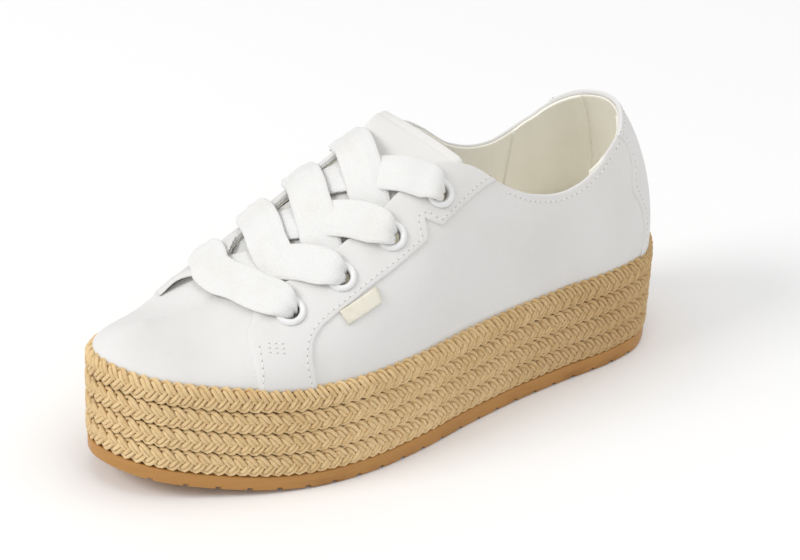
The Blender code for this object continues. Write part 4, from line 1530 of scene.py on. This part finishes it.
def lace_mesh(points, outward, width, thick, seed):
    """Closed soft ribbon along a centre line; pleats grow where the lace is pinched into an eyelet."""
    chord = add_up(lengths(points))
    steps = np.linspace(0.0, chord[-1], int(chord[-1] / LACE_STEP))
    centre = np.column_stack([smooth(chord, points[:, k], steps) for k in range(3)])
    facing = np.column_stack([np.interp(steps, chord, outward[:, k]) for k in range(3)])
    facing = settle(facing, 30)
    width = settle(np.interp(steps, chord, width), 6)
    thick = settle(np.interp(steps, chord, thick), 6)
    ahead = unit(np.gradient(centre, axis=0))
    heading = centre[-1] - centre[0]
    across = unit(np.cross(facing, heading))
    across = unit(across - ahead * np.sum(across * ahead, axis=1)[:, None])
    up = np.cross(ahead, across)
    pinched = np.clip((LACE_WIDTH * 0.97 - width) / (LACE_WIDTH - LACE_HOLE_WIDTH), 0, 1)
    # Every spot across the lace keeps the height above the shoe that its middle has
    spots = np.linspace(-1, 1, DRAPE_SPOTS)
    spread = centre[:, None] + across[:, None] * (spots[:, None] * width[:, None, None] / 2)
    ground, normal = over_last(spread[..., 0].ravel(), spread[..., 1].ravel(), 0.0)
    gap = np.sum((spread.reshape(-1, 3) - ground) * normal, axis=1).reshape(-1, DRAPE_SPOTS)
    centre_spot = DRAPE_SPOTS // 2
    drape = np.clip(gap[:, centre_spot : centre_spot + 1] - gap, -3, 3) * (1 - pinched[:, None] * 0.8)
    drape = np.column_stack([settle(drape[:, k], 12) for k in range(DRAPE_SPOTS)])
    skin_points, texture = [], []
    for i, run in enumerate(steps):
        for k in range(LACE_AROUND):
            turn = math.tau * k / LACE_AROUND
            span = math.copysign(abs(math.cos(turn)) ** 0.8, math.cos(turn))
            body = math.copysign(abs(math.sin(turn)) ** 0.65, math.sin(turn))
            height = lace_relief(span, body, pinched[i], thick[i], run, seed)
            height += np.interp(span, spots, drape[i]) - LACE_DROOP * span**2 * (1 - pinched[i])
            skin_points.append(centre[i] + across[i] * span * width[i] / 2 + up[i] * height)
            texture.append((span * LACE_TEXTURE_HALF, run if body >= 0 else -run))
    faces = grid_faces(len(steps), LACE_AROUND, wrap=True)
    faces.append(list(range(LACE_AROUND))[::-1])
    faces.append([(len(steps) - 1) * LACE_AROUND + k for k in range(LACE_AROUND)])
    return skin_points, faces, texture


def into_eyelet(side, row, origin):
    """Rows for a lace's mesh, where it comes from an origin and dives into an eyelet."""
    centre, outward, _, _ = EYELET_FRAMES[(side, row)]
    back = (origin - centre)[:2]
    flat = np.append(back, -float(back @ outward[:2]) / outward[2])
    flat /= np.linalg.norm(flat)
    rows = []
    for distance, height, width, thick in LACE_DIVE:
        level = centre + flat * distance
        above, direction = over_last(level[0], level[1], height)
        near = np.clip(1 - distance / LACE_PULL, 0, 1)
        place = (level + outward * height) * near + above * (1 - near)
        rows.append((place, outward * near + direction * (1 - near), width, thick))
    return rows


def lace_material():
    """White cotton lace: a fine tubular weave with lengthwise ribs, fluffy, with creamy clouds and
    painted shade in the weave's grooves.
    """
    matt = {"Sheen_Weight": 0.2, "Specular_IOR_Level": 0.2}
    material, graph = new_material("cotton_lace", LACE_WHITE, 0.9, **matt)
    across, along, _ = graph.parts(graph.add("ShaderNodeTexCoord", out=2))
    rib = (across * (math.tau / 0.0009)).sine() * 0.5 + 0.5
    wavy = along + (across * (math.tau / 0.0018)).sine() * 0.0001
    pick = (wavy * (math.tau / 0.0008)).sine() * 0.5 + 0.5
    place = graph.place()
    fluff = graph.noise(place, 1500.0, 3.0, 0.65)
    cloud = graph.noise(place, 90.0, 3.0)
    # Painted shade: the grooves between ribs and picks are tinted a little darker cream
    tint = cloud.between(0.45, 0.8) * 0.35 + (1 - rib * pick) * 0.12
    color = graph.mix(tint, LACE_WHITE, LACE_CREAM)
    relief = graph.bump(rib * 0.35 + pick * 0.35 + fluff * 0.5 + cloud * 0.8, 0.4, 0.0005)
    finish_material(graph, Base_Color=color, Roughness=0.84 + fluff * 0.12, Normal=relief)
    return material


def lace_piece(name, rows, seed, *nodes):
    """A stretch of the lace, from rows of place, outward direction, width and thickness."""
    points, faces, texture = lace_mesh(*(np.array(column) for column in zip(*rows)), seed)
    stretch = add_mesh(name, points, faces, cotton, texture)
    face_outwards(stretch)
    return use_piece(stretch, "lace_cotton", *nodes)


cotton = lace_material()
bar_rows = into_eyelet(-1, 1, np.append(BAR_RUN[0], 0.0))[::-1]
for place in BAR_RUN:
    bar_rows.append((*over_last(*place, BAR_HEIGHT), LACE_WIDTH, LACE_THICK))
bar_rows += into_eyelet(1, 1, np.append(BAR_RUN[-1], 0.0))
lace_piece("lace_bar_ribbon", bar_rows, 0.4, "lace_bar")
for row, *starts in LACE_STARTS:
    for kind, side, column in (("over", -1, 1), ("under", 1, 2)):
        begin = np.array(starts[:2] if kind == "over" else starts[2:])
        eye = EYELET_FRAMES[(side, row)][0]
        lace_rows = []
        for step in LACE_RUN:
            place = begin + (eye[:2] - begin) * step[0]
            if np.linalg.norm(place - eye[:2]) > LACE_DIVES_AT:
                lace_rows.append((*over_last(*place, step[column]), LACE_WIDTH * step[3], LACE_THICK))
        lace_rows += into_eyelet(side, row, np.append(begin, eye[2]))
        lace_piece(f"lace_{kind}_{row}", lace_rows, row * 1.7 + column, f"lace_crossing_{row - 1}")

# ------------------------------------------------------------------------------------------------
# Side tab: a small tag of cream woven tape, left bare. Its upper long edge is caught under the edge
# of the outer facing, and the rest lies on the canvas.
# ------------------------------------------------------------------------------------------------
# Station and rise along the facing, then along the free side
TAB = (((-51.2, 0.385, -48.5, 0.307), (-34.6, 0.398, -33.2, 0.322)),)
TAB_CREAM = (0.80, 0.77, 0.66, 1)
TAB_SHADE = (0.66, 0.61, 0.47, 1)


def tab_material():
    """Cream satin tape: a very fine plain weave, with a deeper shade in clouds."""
    material, graph = new_material("cream_tape", TAB_CREAM, 0.6, Sheen_Weight=0.1)
    rib = weave(graph, 0.0005)
    cloud = graph.noise(graph.place(), 260.0, 3.0)
    tint = cloud.between(0.4, 0.75) * 0.5 + rib * 0.15
    color = graph.mix(tint, TAB_CREAM, TAB_SHADE)
    relief = graph.bump(rib, 0.3, 0.0003)
    finish_material(graph, Base_Color=color, Roughness=0.5 + rib * 0.25, Normal=relief)
    return material


side_tab = overlay("side_tab", 1, TAB, 0.1, 1.25, tab_material())
use_piece(side_tab, "canvas")

# ------------------------------------------------------------------------------------------------
# Heel pockets: a second layer of lining cloth on both sides of the heel, each with its front edge
# turned and sewn down.
# ------------------------------------------------------------------------------------------------
HEEL_POCKET = (
    # station and rise in front, then at the back
    (76.0, -0.02, 121.0, -0.02),
    (77.0, 0.14, 121.0, 0.20),
    (80.0, 0.28, 121.0, 0.35),
    (83.0, 0.42, 121.0, 0.50),
)
for word, side in (("inner", -1), ("outer", 1)):
    pocket = overlay(f"{word}_heel_pocket", side, (HEEL_POCKET,), -1.9, -2.9, lining)
    use_piece(pocket, "lining")

# ------------------------------------------------------------------------------------------------
# Stitching: white cotton thread in rows beside every fold, sunk a little, with a small grey disc of
# painted shade for the needle hole between stitches, and a block of bar tacks at the front of each
# facing.
# ------------------------------------------------------------------------------------------------
STITCH_PITCH = 2.6
COLLAR_FRONT = 36.0
COLLAR_BACK = 102.0
COLLAR_INSIDE = 2.6
COUNTER_SHARE = 0.93
COUNTER_TOP = 0.965
OUTER_ROWS = (
    (
        ((-65.2, 0.01), (-66.2, 0.12), (-66.1, 0.235), (-63.5, 0.335), (-58.0, 0.385), (-50.0, 0.408),
         (-36.0, 0.432), (-20.0, 0.440), (-11.6, 0.447)),
        ((-10.6, 0.535),),
        ((-7.0, 0.540),),
        ((-1.2, 0.462),),
        ((8.0, 0.478), (17.0, 0.503), (27.5, 0.522)),
    ),
    (((-82.5, 0.043), (-82.2, 0.18), (-82.2, 0.27), (-82.3, 0.343)),),
)
INNER_ROWS = (
    (
        ((-61.9, 0.01), (-62.0, 0.18), (-60.6, 0.278), (-53.5, 0.352), (-40.5, 0.380), (-27.5, 0.388),
         (-20.0, 0.362), (-15.0, 0.350)),
        ((-15.4, 0.440),),
        ((-11.4, 0.452),),
        ((-2.6, 0.362),),
        ((11.0, 0.380), (24.0, 0.425), (31.0, 0.462)),
    ),
    (((-81.4, 0.033), (-81.6, 0.20), (-81.2, 0.337)),),
)
TACK_PITCH = 2.3
TACK_DROP = 0.028
# First and last station, then the rise of each row
TACKS = {1: (-79.9, -75.2, 0.315, 0.345, 0.375), -1: (-78.9, -74.2, 0.265, 0.295, 0.325)}
THREAD_WHITE = (0.82, 0.82, 0.81, 1)
THREAD_SHADE = (0.66, 0.65, 0.62, 1)
HOLE_SHADE_GREY = (0.40, 0.385, 0.36, 1)
HOLE_SHADE_PALE = (0.5, 0.49, 0.46, 1)


def stitch_tree():
    """A small rounded shape repeated along paths, turned along each path and outwards from the cloth."""
    graph, source, size = new_tree(
        "stitches",
        Pitch=0.0, Length=0.0, Width=0.0, Height=0.0, Shift=0.0, Material=bpy.data.materials[0],
    )
    curve = graph.add("GeometryNodeMeshToCurve", {"Mesh": source})
    ports = {"Curve": curve, "Length": size["Pitch"]}
    path = graph.add("GeometryNodeResampleCurve", ports, mode="LENGTH")
    ports = {"Primary Axis": graph.add("GeometryNodeInputTangent")}
    ports["Secondary Axis"] = named(graph, "outward", "FLOAT_VECTOR")
    turn = graph.add("FunctionNodeAxesToRotation", ports, primary_axis="X", secondary_axis="Z")
    ball = graph.add("GeometryNodeMeshUVSphere", {"Segments": 10, "Rings": 6, "Radius": 0.5})
    ports = {"Geometry": ball, "Translation": graph.vector(size["Shift"])}
    ports["Scale"] = graph.vector(size["Length"], size["Width"], size["Height"])
    thread = graph.add("GeometryNodeTransform", ports)
    ports = {"Points": path, "Instance": thread, "Rotation": turn}
    many = graph.add("GeometryNodeInstanceOnPoints", ports)
    return close_tree(graph, many, size["Material"])


def thread_material():
    """White cotton thread, a little darker and duller between its fibres."""
    material, graph = new_material("white_thread", THREAD_WHITE, 0.75, Sheen_Weight=0.15)
    twist = graph.noise(graph.place(), 2600.0, 2.0)
    color = graph.mix(twist * 0.35, THREAD_WHITE, THREAD_SHADE)
    relief = graph.bump(twist, 0.4, 0.0002)
    finish_material(graph, Base_Color=color, Roughness=0.65 + twist * 0.2, Normal=relief)
    return material


def hole_shade_material():
    """The shade in a needle hole."""
    material, graph = new_material("needle_hole", HOLE_SHADE_GREY, 0.95)
    shade = graph.noise(graph.place(), 1800.0, 2.0)
    color = graph.mix(shade, HOLE_SHADE_GREY, HOLE_SHADE_PALE)
    finish_material(graph, Base_Color=color, Roughness=0.85 + shade * 0.1)
    return material


def sewn_on(side, station, rise, lift):
    """A row of stitching: its points at a lift above the canvas, and the outward directions there."""
    return skin(side, station, rise, lift), surface_normal(side, station, rise)


def collar_row(side):
    """Places of the row of stitching along the collar."""
    station = np.linspace(COLLAR_FRONT, COLLAR_BACK, int((COLLAR_BACK - COLLAR_FRONT) / 1.5))
    rise = edge_rise(side, station)
    on_edge = last_form(side, station, rise)
    lower = last_form(side, station, rise - 0.02)
    return station, rise - 0.02 * COLLAR_INSIDE / np.linalg.norm(on_edge - lower, axis=1)


rows_of_stitches = []
tacks = []
for side, seams in ((1, OUTER_ROWS), (-1, INNER_ROWS)):
    for stretches in seams:
        rows_of_stitches.append(sewn_on(side, *follow(side, stretches, 1.0).T, FACING_THICK))
    first, last, *levels = TACKS[side]
    for rise in levels:
        tack = (((first, rise), (last, rise - TACK_DROP)),)
        tacks.append(sewn_on(side, *follow(side, tack, 1.0).T, FACING_THICK))
    rows_of_stitches.append(sewn_on(side, *collar_row(side), 0.0))
    for shares, heights in (
        (np.full(60, COUNTER_SHARE), np.linspace(0.02, 0.97, 60)),
        (np.linspace(COUNTER_SHARE, 0.02, 40), np.full(40, COUNTER_TOP)),
    ):
        places = counter_places(side, shares, heights)
        rows_of_stitches.append(sewn_on(side, *places, COUNTER_THICK))
sewing = stitch_tree()
thread = thread_material()
# The needle holes are flat grey discs between the stitches: painted shade, not holes
needle_hole = hole_shade_material()
for word, sewn, pitch in (("seam", rows_of_stitches, STITCH_PITCH), ("tack", tacks, TACK_PITCH)):
    runs = [run for run, _ in sewn]
    outwards = np.vstack([outward for _, outward in sewn])
    for kind, length, width, height, shift, material in (
        ("stitches", pitch * 0.7, 0.5, 0.4, 0.0, thread),
        ("holes", 0.6, 0.62, 0.14, pitch / 2, needle_hole),
    ):
        sewn_piece = add_path(f"{word}_{kind}", runs, outward=outwards)
        grow(
            sewn_piece, sewing,
            Pitch=pitch * MM,
            Length=length * MM,
            Width=width * MM,
            Height=height * MM,
            Shift=shift * MM,
            Material=material,
        )
        use_piece(sewn_piece, "canvas")

# ------------------------------------------------------------------------------------------------
# Studio: a plain white floor, a soft key light from the toe side, a broad light above, a weak fill on
# the outer side and a raised camera.
# ------------------------------------------------------------------------------------------------
CAMERA_PLACE = (0.6628, -0.5312, 0.5239)
CAMERA_ROLL = 3.187
CAMERA_LENS = 113.0
AIM = (0.002, 0.004, 0.049)
FLOOR_COLOR = (0.93, 0.93, 0.93, 1)


def floor_material():
    """Matt white paper with a barely visible tooth."""
    material, graph = new_material("studio_floor", FLOOR_COLOR, 0.9, Specular_IOR_Level=0.1)
    tooth = graph.noise(graph.place(), 300.0, 2.0)
    finish_material(graph, Roughness=0.85 + tooth * 0.1)
    return material


FLOOR_HALF = 4000.0
floor_corners = [(x * FLOOR_HALF, y * FLOOR_HALF, 0.0) for x, y in ((-1, -1), (1, -1), (1, 1), (-1, 1))]
floor = add_mesh("floor", floor_corners, [(0, 1, 2, 3)], floor_material())


def point_at_shoe(name, data, place, roll=0.0):
    """A light or camera at a place, aimed at the shoe and rolled by some degrees."""
    thing = add_object(name, data)
    thing.location = place
    thing.rotation_mode = "QUATERNION"
    gaze = (Vector(AIM) - Vector(place)).to_track_quat("-Z", "Y")
    thing.rotation_quaternion = gaze @ Quaternion((0, 0, 1), math.radians(roll))
    return thing


def add_light(name, place, size, power):
    """A square white area light."""
    light = bpy.data.lights.new(name, "AREA")
    light.size = size
    light.energy = power
    point_at_shoe(name, light, place)


add_light("key_light", (-0.5, -2.1, 1.75), 1.1, 31.0)
add_light("top_light", (0.6, 0.35, 2.65), 2.2, 22.5)
add_light("fill_light", (2.0, -0.8, 1.1), 1.8, 3.0)
world = bpy.data.worlds.new("studio")
world.use_nodes = True
sky = world.node_tree.nodes["Background"]
sky.inputs["Color"].default_value = (1.0, 1.0, 1.0, 1)
sky.inputs["Strength"].default_value = 0.60
bpy.context.scene.world = world
bpy.context.scene.view_settings.view_transform = "Standard"

lens = bpy.data.cameras.new("camera")
lens.lens = CAMERA_LENS
bpy.context.scene.camera = point_at_shoe("camera", lens, CAMERA_PLACE, CAMERA_ROLL)
